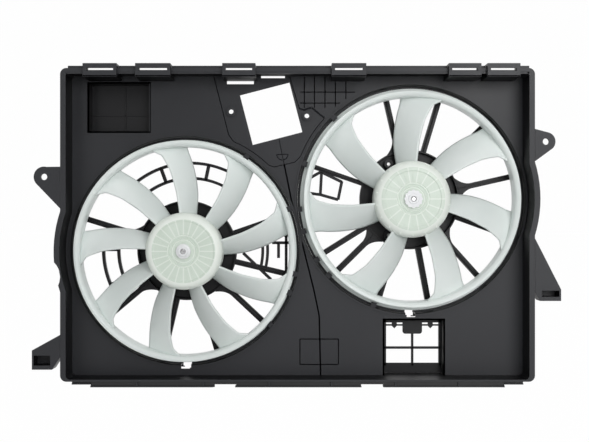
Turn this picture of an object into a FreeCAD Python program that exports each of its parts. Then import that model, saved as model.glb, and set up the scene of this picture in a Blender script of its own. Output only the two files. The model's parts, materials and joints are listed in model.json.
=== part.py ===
import FreeCAD, Part
import math
import os
import re
import Sketcher

# Twin electric cooling-fan module for a car radiator.
# Frame: +X to the right seen from the radiator side, +Y rearwards (air leaves that way), +Z up.
# Origin: centre of the front sealing rim, on the rim's front plane. Millimetres throughout.

doc = FreeCAD.newDocument("fanShroud")
dims = doc.addObject("Spreadsheet::Sheet", "dims")

SIZES = {
    # moulded tray
    "trayDeep": 45, "wallThick": 3, "floorThick": 3, "sideRoom": 6.25, "endRoom": 19.5,
    "rimThick": 3, "rimSide": 8, "rimTop": 6, "rimBottom": 3, "trayCorner": 9,
    "bottomFlangeDrop": 8, "bottomFlangeInset": 43.5, "bottomStepDrop": 4, "bottomStepInset": 16.5,
    "bottomFlangeSet": 4, "bottomFlangeThick": 3, "bottomNotchWide": 32,
    "bottomNotchLeft": -104.6, "bottomNotchRight": 108.7, "cutOver": 1, "edgeBreak": 1,
    # fan axes
    "barrelApart": 3.08614, "climb": 77, "axisShift": 1.25, "axisDrop": 0.5,
    "leftBulgeRoom": 17, "rightBulgeRoom": 13,
    # barrels
    "barrelRadius": 170, "barrelWall": 2.5, "barrelBack": 35, "mouthLip": 4.6, "mouthThick": 1.6,
    "hoopLip": 8, "hoopThick": 3, "seatGap": 0.3,
    "keeperReach": 6.2, "keeperSet": 1.4, "keeperLong": 4.4, "keeperWide": 8,
    "drainWide": 13, "drainTall": 8,
    # motor cradles
    "cradleRadius": 74, "cradleBore": 50, "cradleDeep": 14, "cradlePlate": 3,
    "cradleCollar": 2.5, "strutWide": 6, "strutFlare": 24, "strutFlareLong": 22,
    "guideOuter": 131, "guideInner": 104, "guideWide": 4.4, "guideSet": 3, "guideDeep": 8,
    # module window, shallow panel and grille window
    "windowSide": 76.6, "windowX": -39.4, "windowDown": 61.8, "windowTilt": 14.5,
    "windowHoleSpan": 113.4, "windowHoleX": -42.5, "windowHoleDown": 62, "windowHoleTilt": -3.2,
    "windowHoleRadius": 3.5, "bossRadius": 7, "bossTall": 2.5,
    "grilleFromSide": 171, "grilleUnder": 12.5, "grilleWide": 79, "grilleTall": 63, "grilleBar": 3.6,
    "grilleRowDrop": 8, "grilleFrame": 3, "grilleThick": 4, "grilleTabWide": 29, "grilleTabTall": 18,
    "panelFromSide": 78.6, "panelDown": 52.5, "panelWide": 91, "panelTall": 71.4, "panelSink": 1.4,
    # mounting ears
    "earThick": 5, "earHole": 4.7, "leftEarReach": 23.4, "leftEarZ": 69.7, "leftEarTip": 15,
    "leftEarTop": 84.5, "leftEarFoot": 24, "rightEarReach": 16, "rightEarZ": 121, "rightEarTip": 13.8,
    "rightEarTop": 139.4, "rightEarFoot": 92.5,
    # lower hook sockets
    "socketDeep": 26, "socketWall": 2.6, "socketLedge": 3,
    "leftSocketOut": 41, "leftSocketUp": 17.5, "leftSocketOuter": 28, "leftSocketArm": 50.5,
    "leftSocketSlot": 24, "leftSocketSlotTall": 17.5,
    "rightSocketOut": 38, "rightSocketUp": 117.4, "rightSocketOuter": 16.6, "rightSocketArm": 90.6,
    "rightSocketSlot": 25.5, "rightSocketSlotTall": 12,
    # upper clip loops: how far each lies from its side wall or from the centre, and its width
    "loopAFrom": 34, "loopAWide": 49, "loopBFrom": 110, "loopBWide": 51, "loopCFrom": 109, "loopCWide": 48,
    "loopDFrom": 99.5, "loopDWide": 50, "loopEFrom": 79, "loopEWide": 47, "loopFFrom": 22.6, "loopFWide": 47.4,
    "loopTall": 19, "loopRise": 6, "loopWall": 2.4, "loopProud": 7, "loopDeep": 30, "loopSlot": 4,
    # rotors
    "hubRadius": 57, "hubSink": 30, "hubLong": 45, "hubWall": 3, "hubFace": 3.5, "hubBoss": 12,
    "hubBossLong": 20, "hubRibs": 24, "hubRibThick": 1.2, "hubRibTall": 10, "leftHubRound": 10, "rightHubRound": 13,
    "ringRoom": 17.5, "leftLipRoom": 7, "rightLipRoom": 10.5, "ringWall": 2.3, "ringSink": 20,
    "ringLong": 27.4, "flangeRoom": 3.4, "ringFlangeThick": 2, "ringCurl": 8,
    "leftBlades": 9, "rightBlades": 7, "bladeThick": 2.6, "bladeBow": 2.2, "bladeEdge": 0.35,
    "leftBladeWider": 1, "rightBladeWider": 1.25,
    # drive line
    "shaftRadius": 4, "shaftFit": 0.04, "hubFit": 0.3, "shaftProud": 6.4, "shaftTail": 5,
    "nutFlange": 11, "nutFlangeThick": 2.4, "nutBody": 7.6, "nutTall": 6, "leftWasher": 9.4,
    "lobeNutRadius": 12.6, "lobeCount": 12, "lobeRadius": 1.9,
    # motors
    "canRadius": 44, "canWall": 2, "canGap": 2.5, "canLong": 63.5, "canFace": 2.5,
    "bearingRadius": 11, "bearingLong": 7, "rearBearing": 9.5, "lugReach": 66, "lugThick": 2.5,
    "lugRadius": 7, "flangeRadius": 48.5, "screwRadius": 2.6, "screwHead": 4.6, "screwHeadTall": 4,
    "screwLong": 12, "capThick": 3, "capHub": 13, "capHubTall": 8,
    "airGap": 0.8, "coreRadius": 33.6, "coreFromFront": 12.5, "coreFromRear": 23,
    "coreSlots": 12, "slotWide": 4.6, "slotFloor": 17, "slotMouth": 1.8, "toothTip": 3,
    "coilReach": 7, "coilRadius": 29, "coilInner": 14,
    "commutatorRadius": 12, "commutatorFromRear": 15, "commutatorLong": 10, "barSplit": 0.8,
    "cardThick": 2.4, "cardGap": 0.3, "brushWide": 7, "brushTall": 6, "brushLong": 14,
    "brushGap": 0.3, "holderWall": 1.8,
    "inletWide": 26, "inletTall": 15, "inletLong": 18, "inletWall": 1.8, "inletReach": 27,
    "bladeTab": 6.3, "bladeTabThick": 0.8, "bladeTabSpan": 10,
}
MADE = {  # sizes and places that follow from the sheet
    "spread": "sqrt(4 * (barrelRadius + barrelApart)^2 - climb^2)",
    "trayWide": "spread + 2 * (barrelRadius + sideRoom)", "trayTall": "climb + 2 * (barrelRadius + endRoom)",
    "leftX": "axisShift - spread / 2", "rightX": "axisShift + spread / 2",
    "leftZ": "-axisDrop - climb / 2", "rightZ": "climb / 2 - axisDrop",
    "leftBulge": "barrelRadius + leftBulgeRoom", "rightBulge": "barrelRadius + rightBulgeRoom",
    "bottomFlangeWide": "trayWide - 2 * bottomFlangeInset", "bottomStepWide": "trayWide - 2 * bottomStepInset",
    "barrelRear": "trayDeep + barrelBack", "mouthRadius": "barrelRadius + mouthLip",
    "hoopRadius": "barrelRadius + hoopLip", "keeperFront": "trayDeep - keeperSet",
    "cradleRear": "barrelRear", "cradleFront": "barrelRear - cradleDeep",
    "guideFront": "cradleFront + guideSet", "guideRear": "guideFront + guideDeep",
    "windowZ": "trayTall / 2 - windowDown", "windowHoleZ": "trayTall / 2 - windowHoleDown",
    "panelX": "panelFromSide - trayWide / 2", "panelZ": "trayTall / 2 - panelDown",
    "grilleX": "trayWide / 2 - grilleFromSide", "grilleZ": "rightZ - barrelRadius - grilleUnder - grilleTall / 2",
    "grilleRow": "grilleZ - grilleRowDrop",
    "leftEarX": "-trayWide / 2 - leftEarReach", "rightEarX": "trayWide / 2 + rightEarReach",
    "leftSocketLow": "leftSocketUp - trayTall / 2", "leftSocketHigh": "leftSocketLow + leftSocketOuter",
    "leftSocketTop": "leftSocketLow + leftSocketArm",
    "rightSocketLow": "rightSocketUp - trayTall / 2", "rightSocketHigh": "rightSocketLow + rightSocketOuter",
    "rightSocketTop": "rightSocketLow + rightSocketArm",
    "loopTop": "trayTall / 2 + loopRise",
    "hubFront": "trayDeep - hubSink", "hubRear": "hubFront + hubLong", "ringBore": "barrelRadius - ringRoom",
    "leftLip": "barrelRadius - leftLipRoom", "rightLip": "barrelRadius - rightLipRoom",
    "ringFlange": "barrelRadius - flangeRoom", "ringFront": "trayDeep - ringSink", "ringRear": "ringFront + ringLong",
    "nutRear": "hubFront", "shaftFront": "hubFront - shaftProud", "shaftRear": "canRear + shaftTail",
    "canFront": "hubRear + canGap", "canRear": "canFront + canLong",
    "coreFront": "canFront + coreFromFront", "coreRear": "canRear - coreFromRear",
    "commutatorFront": "canRear - commutatorFromRear",
}

for row, (word, amount) in enumerate(SIZES.items(), start=1):
    dims.set(f"A{row}", word)
    dims.set(f"B{row}", str(amount))
    dims.setAlias(f"B{row}", word)
doc.recompute()


def linked(text):
    """Spell a formula in the sheet's own words."""
    def spelled(word):
        if word[0] in MADE:
            return f"({linked(MADE[word[0]])})"
        return "dims." + word[0] if word[0] in SIZES else word[0]
    return re.sub(r"[A-Za-z]\w*", spelled, str(text))


def number(text):
    """Present value of a formula."""
    result = dims.evalExpression(linked(text))
    return float(getattr(result, "Value", result))


def bind(thing, **formulas):
    for name, text in formulas.items():
        thing.setExpression(name.replace("_", "."), linked(text))


def seat(thing, x="0", y="0", z="0"):
    """Bind an object's place to the sheet."""
    for axis, text in (("x", x), ("y", y), ("z", z)):
        thing.setExpression(f"Placement.Base.{axis}", linked(text))
    return thing


def body(name, x="0", z="0"):
    new = doc.addObject("PartDesign::Body", name)
    return seat(new, x=x, z=z)


def sketch(owner, outline, set_back=None, plane="XZ_Plane"):
    """Closed outline whose corners are formulas; a corner marked 'arc' is passed through by an arc."""
    drawn = owner.newObject("Sketcher::SketchObject", owner.Name + "Sketch")
    role = next(part for part in owner.Origin.OriginFeatures if part.Role == plane)
    drawn.AttachmentSupport = [(role, "")]
    drawn.MapMode = "FlatFace"
    if set_back is not None:
        drawn.setExpression("AttachmentOffset.Base.z", linked(set_back))
    corners = [point for point in outline if point[0] != "arc"]
    spots = [FreeCAD.Vector(number(x), number(y), 0) for x, y in corners]
    follow = {}
    for place, point in enumerate(outline):
        if point[0] == "arc":
            before = len([p for p in outline[:place] if p[0] != "arc"]) - 1
            follow[before] = FreeCAD.Vector(number(point[1]), number(point[2]), 0)
    count = len(spots)
    for i in range(count):
        start, end = spots[i], spots[(i + 1) % count]
        if i in follow:
            arc = Part.Arc(start, follow[i], end)
            drawn.addGeometry(arc, False)
        else:
            drawn.addGeometry(Part.LineSegment(start, end), False)
    ends = []
    for i in range(count):
        edge = drawn.Geometry[i]
        forward = edge.StartPoint.distanceToPoint(spots[i]) < edge.EndPoint.distanceToPoint(spots[i])
        ends.append((1, 2) if forward else (2, 1))
    for i in range(count):
        after = (i + 1) % count
        drawn.addConstraint(Sketcher.Constraint("Coincident", i, ends[i][1], after, ends[after][0]))
    for i, (x, y) in enumerate(corners):
        for kind, text in (("DistanceX", x), ("DistanceY", y)):
            held = drawn.addConstraint(Sketcher.Constraint(kind, -1, 1, i, ends[i][0], number(text)))
            drawn.setExpression(f"Constraints[{held}]", linked(text))
    return drawn


def disc(owner, radius, x="0", y="0", set_back=None):
    """One circle, centre and radius bound to the sheet."""
    drawn = owner.newObject("Sketcher::SketchObject", owner.Name + "Circle")
    role = next(part for part in owner.Origin.OriginFeatures if part.Role == "XZ_Plane")
    drawn.AttachmentSupport = [(role, "")]
    drawn.MapMode = "FlatFace"
    if set_back is not None:
        drawn.setExpression("AttachmentOffset.Base.z", linked(set_back))
    centre = FreeCAD.Vector(number(x), number(y), 0)
    drawn.addGeometry(Part.Circle(centre, FreeCAD.Vector(0, 0, 1), number(radius)), False)
    held = drawn.addConstraint(Sketcher.Constraint("Radius", 0, number(radius)))
    drawn.setExpression(f"Constraints[{held}]", linked(radius))
    for kind, text in (("DistanceX", x), ("DistanceY", y)):
        held = drawn.addConstraint(Sketcher.Constraint(kind, -1, 1, 0, 3, number(text)))
        drawn.setExpression(f"Constraints[{held}]", linked(text))
    return drawn


def rectangle(x_low, x_high, z_low, z_high):
    return [(x_low, z_low), (x_high, z_low), (x_high, z_high), (x_low, z_high)]


def turned(outline, angle, x="0", z="0"):
    """Corner formulas turned by an angle about (x, z)."""
    return [(f"({x}) + ({a}) * cos({angle}) - ({b}) * sin({angle})",
             f"({z}) + ({a}) * sin({angle}) + ({b}) * cos({angle})") for a, b in outline]


def pad(owner, drawn, length):
    """Grow a front-plane sketch rearwards (+Y)."""
    grown = owner.newObject("PartDesign::Pad", owner.Name + "Pad")
    grown.Profile = drawn
    grown.Reversed = True
    bind(grown, Length=length)
    return grown


def pocket(owner, drawn, length):
    """Cut a front-plane sketch rearwards (+Y)."""
    cut = owner.newObject("PartDesign::Pocket", owner.Name + "Pocket")
    cut.Profile = drawn
    bind(cut, Length=length)
    return cut


def revolve(owner, outline):
    """Spin an (radius, depth) outline about the owner's Y axis."""
    drawn = sketch(owner, outline, plane="XY_Plane")
    spun = owner.newObject("PartDesign::Revolution", owner.Name + "Turn")
    spun.Profile = drawn
    spun.ReferenceAxis = (drawn, ["V_Axis"])
    spun.Angle = 360
    return spun


def circled(owner, feature, count):
    """Repeat a feature round the owner's Y axis."""
    ring = owner.newObject("PartDesign::PolarPattern", owner.Name + "Round")
    ring.Originals = [feature]
    axis = next(part for part in owner.Origin.OriginFeatures if part.Role == "Y_Axis")
    ring.Axis = (axis, [""])
    ring.Angle = 360
    bind(ring, Occurrences=count)
    owner.Tip = ring
    return ring


def rod(name, radius, front, length, x="0", z="0"):
    """Round bar along +Y."""
    bar = doc.addObject("Part::Cylinder", name)
    bar.Placement.Rotation = FreeCAD.Rotation(FreeCAD.Vector(1, 0, 0), -90)
    bind(bar, Radius=radius, Height=length)
    return seat(bar, x, front, z)


def block(name, x, y, z, wide, deep, tall):
    brick = doc.addObject("Part::Box", name)
    bind(brick, Length=wide, Width=deep, Height=tall)
    return seat(brick, x, y, z)


def joined(name, shapes):
    whole = doc.addObject("Part::MultiFuse", name)
    whole.Shapes = shapes
    whole.Refine = False
    return whole


def less(name, base, tool):
    rest = doc.addObject("Part::Cut", name)
    rest.Base = base
    rest.Tool = tool
    return rest


def soften(owner, feature, radius, chosen):
    """Fillet the edges of a feature that a test picks."""
    doc.recompute()
    names = [f"Edge{i + 1}" for i, edge in enumerate(feature.Shape.Edges) if chosen(edge)]
    if not names:
        raise RuntimeError(f"no edge to round on {owner.Name}")
    rounded = owner.newObject("PartDesign::Fillet", owner.Name + "Round")
    rounded.Base = (feature, names)
    bind(rounded, Radius=radius)
    return rounded


nodes = {}


def keep(node, thing):
    thing.Label = node
    nodes[node] = thing


HALF_WIDE = "trayWide / 2"
HALF_TALL = "trayTall / 2"
INNER_X = "(trayWide / 2 - rimSide)"
INNER_TOP = "(trayTall / 2 - rimTop)"
INNER_LOW = "(-trayTall / 2 + rimBottom)"
FLOOR_BACK = "(trayDeep + floorThick)"
FAN_TILT = "atan((rightZ - leftZ) / (rightX - leftX))"
HALF_GAP = "(sqrt((rightX - leftX)^2 + (rightZ - leftZ)^2) / 2)"
SIDES = ("left", "right")


LOOPS = {  # left and right ends of each upper loop
    "loopA": ("(loopAFrom - trayWide / 2)", "(loopAFrom + loopAWide - trayWide / 2)"),
    "loopB": ("(loopBFrom - trayWide / 2)", "(loopBFrom + loopBWide - trayWide / 2)"),
    "loopC": ("(-loopCFrom)", "(loopCWide - loopCFrom)"),
    "loopD": ("(loopDFrom - loopDWide)", "loopDFrom"),
    "loopE": ("(trayWide / 2 - loopEFrom - loopEWide)", "(trayWide / 2 - loopEFrom)"),
    "loopF": ("(trayWide / 2 - loopFFrom - loopFWide)", "(trayWide / 2 - loopFFrom)"),
}
WALL_TOP = f"({INNER_TOP} + wallThick)"


def upright(edge, x, z):
    """True for a straight edge along Y at the given distance from the centre planes."""
    if edge.Curve.TypeId != "Part::GeomLine" or edge.BoundBox.YLength < 1:
        return False
    spot = edge.Vertexes[0].Point
    return abs(abs(spot.x) - x) < 0.01 and min(abs(spot.z - level) for level in z) < 0.01


def tray():
    """Open pan: sealing rim, side walls, floor with two round openings and the small windows."""
    part = body("trayBody")
    pad(part, sketch(part, rectangle(f"-{HALF_WIDE}", HALF_WIDE, f"-{HALF_TALL}", HALF_TALL)), "rimThick")
    for side in SIDES:
        pad(part, disc(part, f"{side}Bulge", f"{side}X", f"{side}Z"), "rimThick")
    outer = rectangle(f"-{INNER_X} - wallThick", f"{INNER_X} + wallThick",
                      f"{INNER_LOW} - wallThick", f"{INNER_TOP} + wallThick")
    pad(part, sketch(part, outer), FLOOR_BACK)
    for side in SIDES:
        radius = f"{side}Bulge - rimSide + wallThick"
        pad(part, disc(part, radius, f"{side}X", f"{side}Z"), FLOOR_BACK)
    last = pocket(part, sketch(part, rectangle(f"-{INNER_X}", INNER_X, INNER_LOW, INNER_TOP)), "trayDeep")
    for side in SIDES:
        last = pocket(part, disc(part, f"{side}Bulge - rimSide", f"{side}X", f"{side}Z"), "trayDeep")
    for side in SIDES:
        hole = disc(part, "barrelRadius + barrelWall + seatGap", f"{side}X", f"{side}Z")
        last = pocket(part, hole, f"{FLOOR_BACK} + cutOver")
        low = f"{side}Z - barrelRadius - barrelWall"
        drain = rectangle(f"{side}X - drainWide / 2", f"{side}X + drainWide / 2",
                          f"{low} - drainTall / 2", f"{low} + cutOver")
        last = pocket(part, sketch(part, drain), f"{FLOOR_BACK} + cutOver")
    square = turned(rectangle("-windowSide / 2", "windowSide / 2", "-windowSide / 2", "windowSide / 2"),
                    "windowTilt", "windowX", "windowZ")
    last = pocket(part, sketch(part, square), f"{FLOOR_BACK} + cutOver")
    frame = rectangle("grilleX - grilleWide / 2", "grilleX + grilleWide / 2",
                      "grilleZ - grilleTall / 2", "grilleZ + grilleTall / 2")
    last = pocket(part, sketch(part, frame), f"{FLOOR_BACK} + cutOver")
    for low, high in LOOPS.values():
        notch = rectangle(f"{low} + 2 * loopWall", f"{high} - 2 * loopWall", WALL_TOP,
                          f"{HALF_TALL} + cutOver")
        last = pocket(part, sketch(part, notch), "rimThick + cutOver")
    corners = lambda edge: upright(edge, number(HALF_WIDE), (number(HALF_TALL), -number(HALF_TALL)))
    last = soften(part, last, "trayCorner", corners)
    corners = lambda edge: upright(edge, number(INNER_X), (number(INNER_TOP), number(INNER_LOW)))
    last = soften(part, last, "trayCorner - wallThick", corners)
    for spot in ("-1", "1"):
        x = f"windowHoleX + {spot} * windowHoleSpan / 2 * cos(windowHoleTilt)"
        z = f"windowHoleZ + {spot} * windowHoleSpan / 2 * sin(windowHoleTilt)"
        pad(part, disc(part, "bossRadius", x, z, "bossTall - trayDeep"), "bossTall + floorThick")
        pocket(part, disc(part, "windowHoleRadius", x, z), f"{FLOOR_BACK} + cutOver")
    sunk = rectangle("panelX - panelWide / 2", "panelX + panelWide / 2", "panelZ - panelTall / 2",
                     "panelZ + panelTall / 2")
    pocket(part, sketch(part, sunk), "trayDeep + panelSink")
    keep("shroud_tray", part)


def barrel(side):
    """Air duct round one rotor, with a flared mouth, keeper ribs, a rear hoop and a drain notch."""
    part = body(f"{side}BarrelBody", f"{side}X", f"{side}Z")
    outer = "barrelRadius + barrelWall"
    revolve(part, [
        ("barrelRadius", "trayDeep + mouthThick"),
        ("barrelRadius + mouthThick", "trayDeep - mouthThick"),
        ("mouthRadius", "trayDeep - mouthThick"), ("mouthRadius", "trayDeep"), (outer, "trayDeep"),
        (outer, "barrelRear - hoopThick"), ("hoopRadius", "barrelRear - hoopThick"),
        ("hoopRadius", "barrelRear"), ("barrelRadius", "barrelRear")])
    toward = "1" if side == "left" else "-1"
    beyond = rectangle(f"{toward} * ({HALF_GAP} - seatGap)", f"{toward} * ({HALF_GAP} + barrelRadius)",
                       "-barrelRadius", "barrelRadius")
    pocket(part, sketch(part, turned(beyond, FAN_TILT)), "barrelRear + cutOver")
    low = "(-barrelRadius - barrelWall)"
    drain = rectangle("-drainWide / 2", "drainWide / 2", f"{low} - drainTall / 2", f"{low} + drainTall / 2")
    pocket(part, sketch(part, drain), "barrelRear + cutOver")
    angles = {"left": (57, 22, -12, -22, -41), "right": (133.5, 161.5, 185, 196.6, 212.7, 222.7, 250.4)}
    for angle in angles[side]:
        rib = rectangle("barrelRadius - keeperReach", "barrelRadius + barrelWall / 2", "-keeperWide / 2",
                        "keeperWide / 2")
        pad(part, sketch(part, turned(rib, str(angle)), "-keeperFront"), "keeperLong")
    keep(f"{side}_barrel", part)


STRUTS = {  # angle and whether the root is flared
    "left": ((162.7, 1), (220, 1), (257.7, 0), (286.6, 0), (-43.2, 1), (-13.4, 0), (20, 0)),
    "right": ((103, 1), (73.3, 0), (44.7, 0), (12.8, 1), (-20, 0), (-48, 1), (-79.4, 0), (-107, 0),
              (-135.3, 1), (212, 0), (160.9, 0)),
}


def cradle(side):
    """Motor ring hung in the barrel on struts, with three screw bosses and cable guides."""
    part = body(f"{side}CradleBody", f"{side}X", f"{side}Z")
    high = "cradleRear - cradleFront"
    revolve(part, [
        ("cradleBore", "cradleFront"), ("cradleBore + cradleCollar", "cradleFront"),
        ("cradleBore + cradleCollar", "cradleRear - cradlePlate"),
        ("cradleRadius - cradleCollar", "cradleRear - cradlePlate"),
        ("cradleRadius - cradleCollar", "cradleFront"), ("cradleRadius", "cradleFront"),
        ("cradleRadius", "cradleRear"), ("cradleBore", "cradleRear")])
    start, end = "(cradleRadius - cradleCollar / 2)", "(barrelRadius - seatGap)"
    for angle, flared in STRUTS[side]:
        half = "(strutWide / 2)" if flared else "(strutWide / 3)"
        outline = rectangle(start, end, f"-{half}", half)
        if flared:
            wide = "(strutFlare / 2)"
            outline = [(start, f"-{wide}"), (f"{start} + strutFlareLong", f"-{half}"),
                       (f"{end} - strutFlareLong", f"-{half}"), (f"{end} - seatGap * 1.5", f"-{wide}"),
                       (f"{end} - seatGap * 1.5", wide), (f"{end} - strutFlareLong", half),
                       (f"{start} + strutFlareLong", half), (start, wide)]
        pad(part, sketch(part, turned(outline, str(angle)), "-cradleFront"), high)
    middle = "(cradleBore + cradleRadius) / 2"
    boss = pad(part, disc(part, "lugRadius", "lugReach - lugRadius / 2", "0", "-cradleFront"), high)
    circled(part, boss, "3")
    hole = pocket(part, disc(part, "screwRadius + seatGap", "lugReach - lugRadius / 2", "0"),
                  "cradleRear + cutOver")
    circled(part, hole, "3")
    arcs = [part]
    sweep = {"left": (62, 140), "right": (0, 0)}[side]
    if sweep[1]:
        for word in ("guideOuter", "guideInner"):
            outer = rod(f"{side}{word}Out", f"{word} + guideWide / 2", "guideFront",
                        "guideRear - guideFront",
                        f"{side}X", f"{side}Z")
            outer.Angle = sweep[1]
            spin = FreeCAD.Rotation(FreeCAD.Vector(0, 1, 0), -sweep[0])
            outer.Placement.Rotation = spin.multiply(FreeCAD.Rotation(FreeCAD.Vector(1, 0, 0), 90))
            seat(outer, f"{side}X", "guideRear", f"{side}Z")
            inner = rod(f"{side}{word}In", f"{word} - guideWide / 2", "guideFront - cutOver",
                        "guideRear - guideFront + 2",
                        f"{side}X", f"{side}Z")
            arcs.append(less(f"{side}{word}", outer, inner))
        for angle in (78, 110, 180):
            bar = block(f"{side}Rung{angle}", "0", "0", "0", "guideOuter - cradleRadius + cradleCollar",
                        "guideRear - guideFront", "guideWide")
            turn = FreeCAD.Rotation(FreeCAD.Vector(0, -1, 0), angle)
            bar.Placement.Rotation = turn
            reach = "(cradleRadius - cradleCollar / 2)"
            seat(bar, f"{side}X + {reach} * cos({angle}) + guideWide / 2 * sin({angle})", "guideFront",
                 f"{side}Z + {reach} * sin({angle}) - guideWide / 2 * cos({angle})")
            arcs.append(bar)
    keep(f"{side}_motor_cradle", joined(f"{side}Cradle", arcs) if len(arcs) > 1 else part)


def ear(side):
    """Flat lug with a bolt hole, standing out from the side rim."""
    sign = "-" if side == "left" else ""
    part = body(f"{side}EarBody")
    x, z, tip = f"{side}EarX", f"{side}EarZ", f"{side}EarTip"
    wall = f"({sign}(trayWide / 2 + seatGap))"
    lean = 105 if side == "left" else 75
    fall = 225 if side == "left" else -48
    pad(part, sketch(part, [
        (wall, f"{side}EarTop"), (f"{x} + {tip} * cos({lean})", f"{z} + {tip} * sin({lean})"), (x, z),
        (f"{x} + {tip} * cos({fall})", f"{z} + {tip} * sin({fall})"), (wall,
                                                                       f"{side}EarFoot")]), "earThick")
    pad(part, disc(part, tip, x, z), "earThick")
    pocket(part, disc(part, "earHole", x, z), "earThick + cutOver")
    keep(f"{side}_ear", part)


def hook_socket(side):
    """Pocket under a side arm that drops over a hook on the radiator tank."""
    sign = "-1" if side == "left" else "1"
    part = body(f"{side}SocketBody")
    near = f"{sign} * (trayWide / 2 + seatGap)"
    far = f"{sign} * (trayWide / 2 + {side}SocketOut)"
    high, low, top = f"{side}SocketHigh", f"{side}SocketLow", f"{side}SocketTop"
    inner = f"{sign} * (trayWide / 2 + {side}SocketOut - {side}SocketSlot - 2 * socketWall)"
    pad(part, sketch(part, [(near, top), (far, high), (far, low), (inner, low),
                                        (near, f"{low} + {side}SocketSlotTall")]), "socketDeep")
    a = f"{sign} * (trayWide / 2 + {side}SocketOut - socketWall)"
    b = f"{sign} * (trayWide / 2 + {side}SocketOut - socketWall - {side}SocketSlot)"
    floor = f"{low} + 2 * socketLedge"
    pocket(part, sketch(part, rectangle(b, a, floor, f"{low} + {side}SocketSlotTall + socketLedge")),
           "socketDeep - socketWall")
    keep(f"{side}_hook_socket", part)


def clip_loops():
    """Six loops on the upper rim that clips on the radiator slide into."""
    loops = []
    for name, (low, high) in LOOPS.items():
        long_ = f"({high} - {low})"
        shell = block(f"{name}Shell", low, "-loopProud", "loopTop - loopTall", long_, "loopDeep",
                      "loopTall")
        rim = block(f"{name}Rim", f"{low} - cutOver", "0", "loopTop - loopTall - cutOver",
                    f"{long_} + 2 * cutOver", "loopDeep", f"{HALF_TALL} + seatGap - loopTop + loopTall + cutOver")
        inside = block(f"{name}Inside", f"{low} + loopWall", "-loopProud + loopWall",
                       "loopTop - loopTall - cutOver",
                       f"{long_} - 2 * loopWall", "loopDeep", "loopTall + cutOver - loopWall")
        slot = block(f"{name}Slot", f"{low} + 2 * loopWall", "-loopProud - cutOver",
                     f"{WALL_TOP} - loopSlot / 2",
                     f"{long_} - 4 * loopWall", "loopWall + 2 * cutOver", "loopSlot")
        loops.append(less(name, shell, joined(f"{name}Cuts", [rim, inside, slot])))
    keep("clip_loops", joined("clipLoops", loops))


def bottom_flange():
    part = body("bottomFlangeBody")
    top = f"-{HALF_TALL} - seatGap"
    pad(part, sketch(part, rectangle("-bottomFlangeWide / 2", "bottomFlangeWide / 2",
                                                 f"{top} - bottomFlangeDrop", top), "-bottomFlangeSet"), "bottomFlangeThick")
    pad(part, sketch(part, rectangle("-bottomStepWide / 2", "bottomStepWide / 2",
                                                 f"{top} - bottomStepDrop", top), "-bottomFlangeSet"), "bottomFlangeThick")
    for spot in ("bottomNotchLeft", "bottomNotchRight"):
        notch = rectangle(f"{spot} - bottomNotchWide / 2", f"{spot} + bottomNotchWide / 2",
                          f"{top} - bottomFlangeDrop - cutOver", f"{top} - bottomStepDrop")
        pocket(part, sketch(part, notch), "bottomFlangeSet + bottomFlangeThick + cutOver")
    keep("bottom_flange", part)


def grille():
    """Snap-in window insert with four openings and a rounded latch tab."""
    part = body("grilleBody")
    wide, tall = "(grilleWide / 2 - seatGap)", "(grilleTall / 2 - seatGap)"
    face = "seatGap - trayDeep"
    pad(part, sketch(part, rectangle(f"grilleX - {wide}", f"grilleX + {wide}", f"grilleZ - {tall}",
                                                 f"grilleZ + {tall}"), face), "grilleThick")
    inner_x, inner_z = f"({wide} - grilleFrame)", f"({tall} - grilleFrame)"
    half = "grilleBar / 2"
    for left, right in ((f"grilleX - {inner_x}", f"grilleX - {half}"), (f"grilleX + {half}",
                                                                        f"grilleX + {inner_x}")):
        for low, high in ((f"grilleZ - {inner_z}", f"grilleRow - {half}"), (f"grilleRow + {half}",
                                                                            f"grilleZ + {inner_z}")):
            pocket(part, sketch(part, rectangle(left, right, low, high)),
                   "trayDeep + grilleThick + cutOver")
    tab = rectangle("grilleX - grilleTabWide / 2", "grilleX + grilleTabWide / 2",
                    f"grilleZ + {tall} - grilleTabTall", f"grilleZ + {tall}")
    last = pad(part, sketch(part, tab, face), "grilleThick")
    keep("grille_insert", part)


def blade(side, place):
    """One swept, twisted blade; its root and tip run into the hub wall and the ring wall."""
    mirror = 1 if side == "left" else -1
    hub, ring = number("hubRadius - hubWall / 2"), number("ringBore + ringWall / 2")
    front, thick, edge = number("ringFront"), number("bladeThick"), number("bladeEdge")
    pitch = 360 / number(f"{side}Blades")
    wider = number(f"{side}BladeWider")
    # share of the span, angles of the leading and trailing edge, their depths behind the ring's front
    stations = ((0.0, 16.5, -5.5, 0, 33), (0.33, 17.4, -1.2, 1, 31), (0.66, 20.0, 4.2, 3, 29),
                (0.9, 23.4, 8.2, 5, 26), (1.0, 28.0, 9.4, 6, 25))
    steps = 4
    sections = []
    for share, lead, trail, shallow, deep in stations:
        radius = hub + share * (ring - hub)
        middle, half = (lead + trail) / 2, (lead - trail) / 2 * wider
        upper, lower = [], []
        for step in range(steps + 1):
            along = step / steps
            bow = math.sin(math.pi * along)
            turn = math.radians(mirror * (middle + half - along * 2 * half + place * pitch))
            depth = front + shallow + along * (deep - shallow) - number("bladeBow") * bow
            half_thick = thick * (edge + (1 - edge) * bow) / 2
            for rail, shift in ((upper, -half_thick), (lower, half_thick)):
                rail.append(FreeCAD.Vector(radius * math.cos(turn), depth + shift, radius * math.sin(turn)))
        sections.append(Part.makePolygon(upper + lower[::-1] + upper[:1]))
    skin = Part.makeLoft(sections, False, False)
    ends = []
    for rim in (sections[0], sections[-1]):
        edges = rim.Edges
        for step in range(steps):
            ends.append(Part.makeRuledSurface(edges[step], edges[2 * steps - step]))
    shell = Part.makeShell(skin.Faces + ends)
    shell.sewShape()
    solid = Part.makeSolid(shell)
    return solid if solid.Volume > 0 else solid.reversed()


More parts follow.
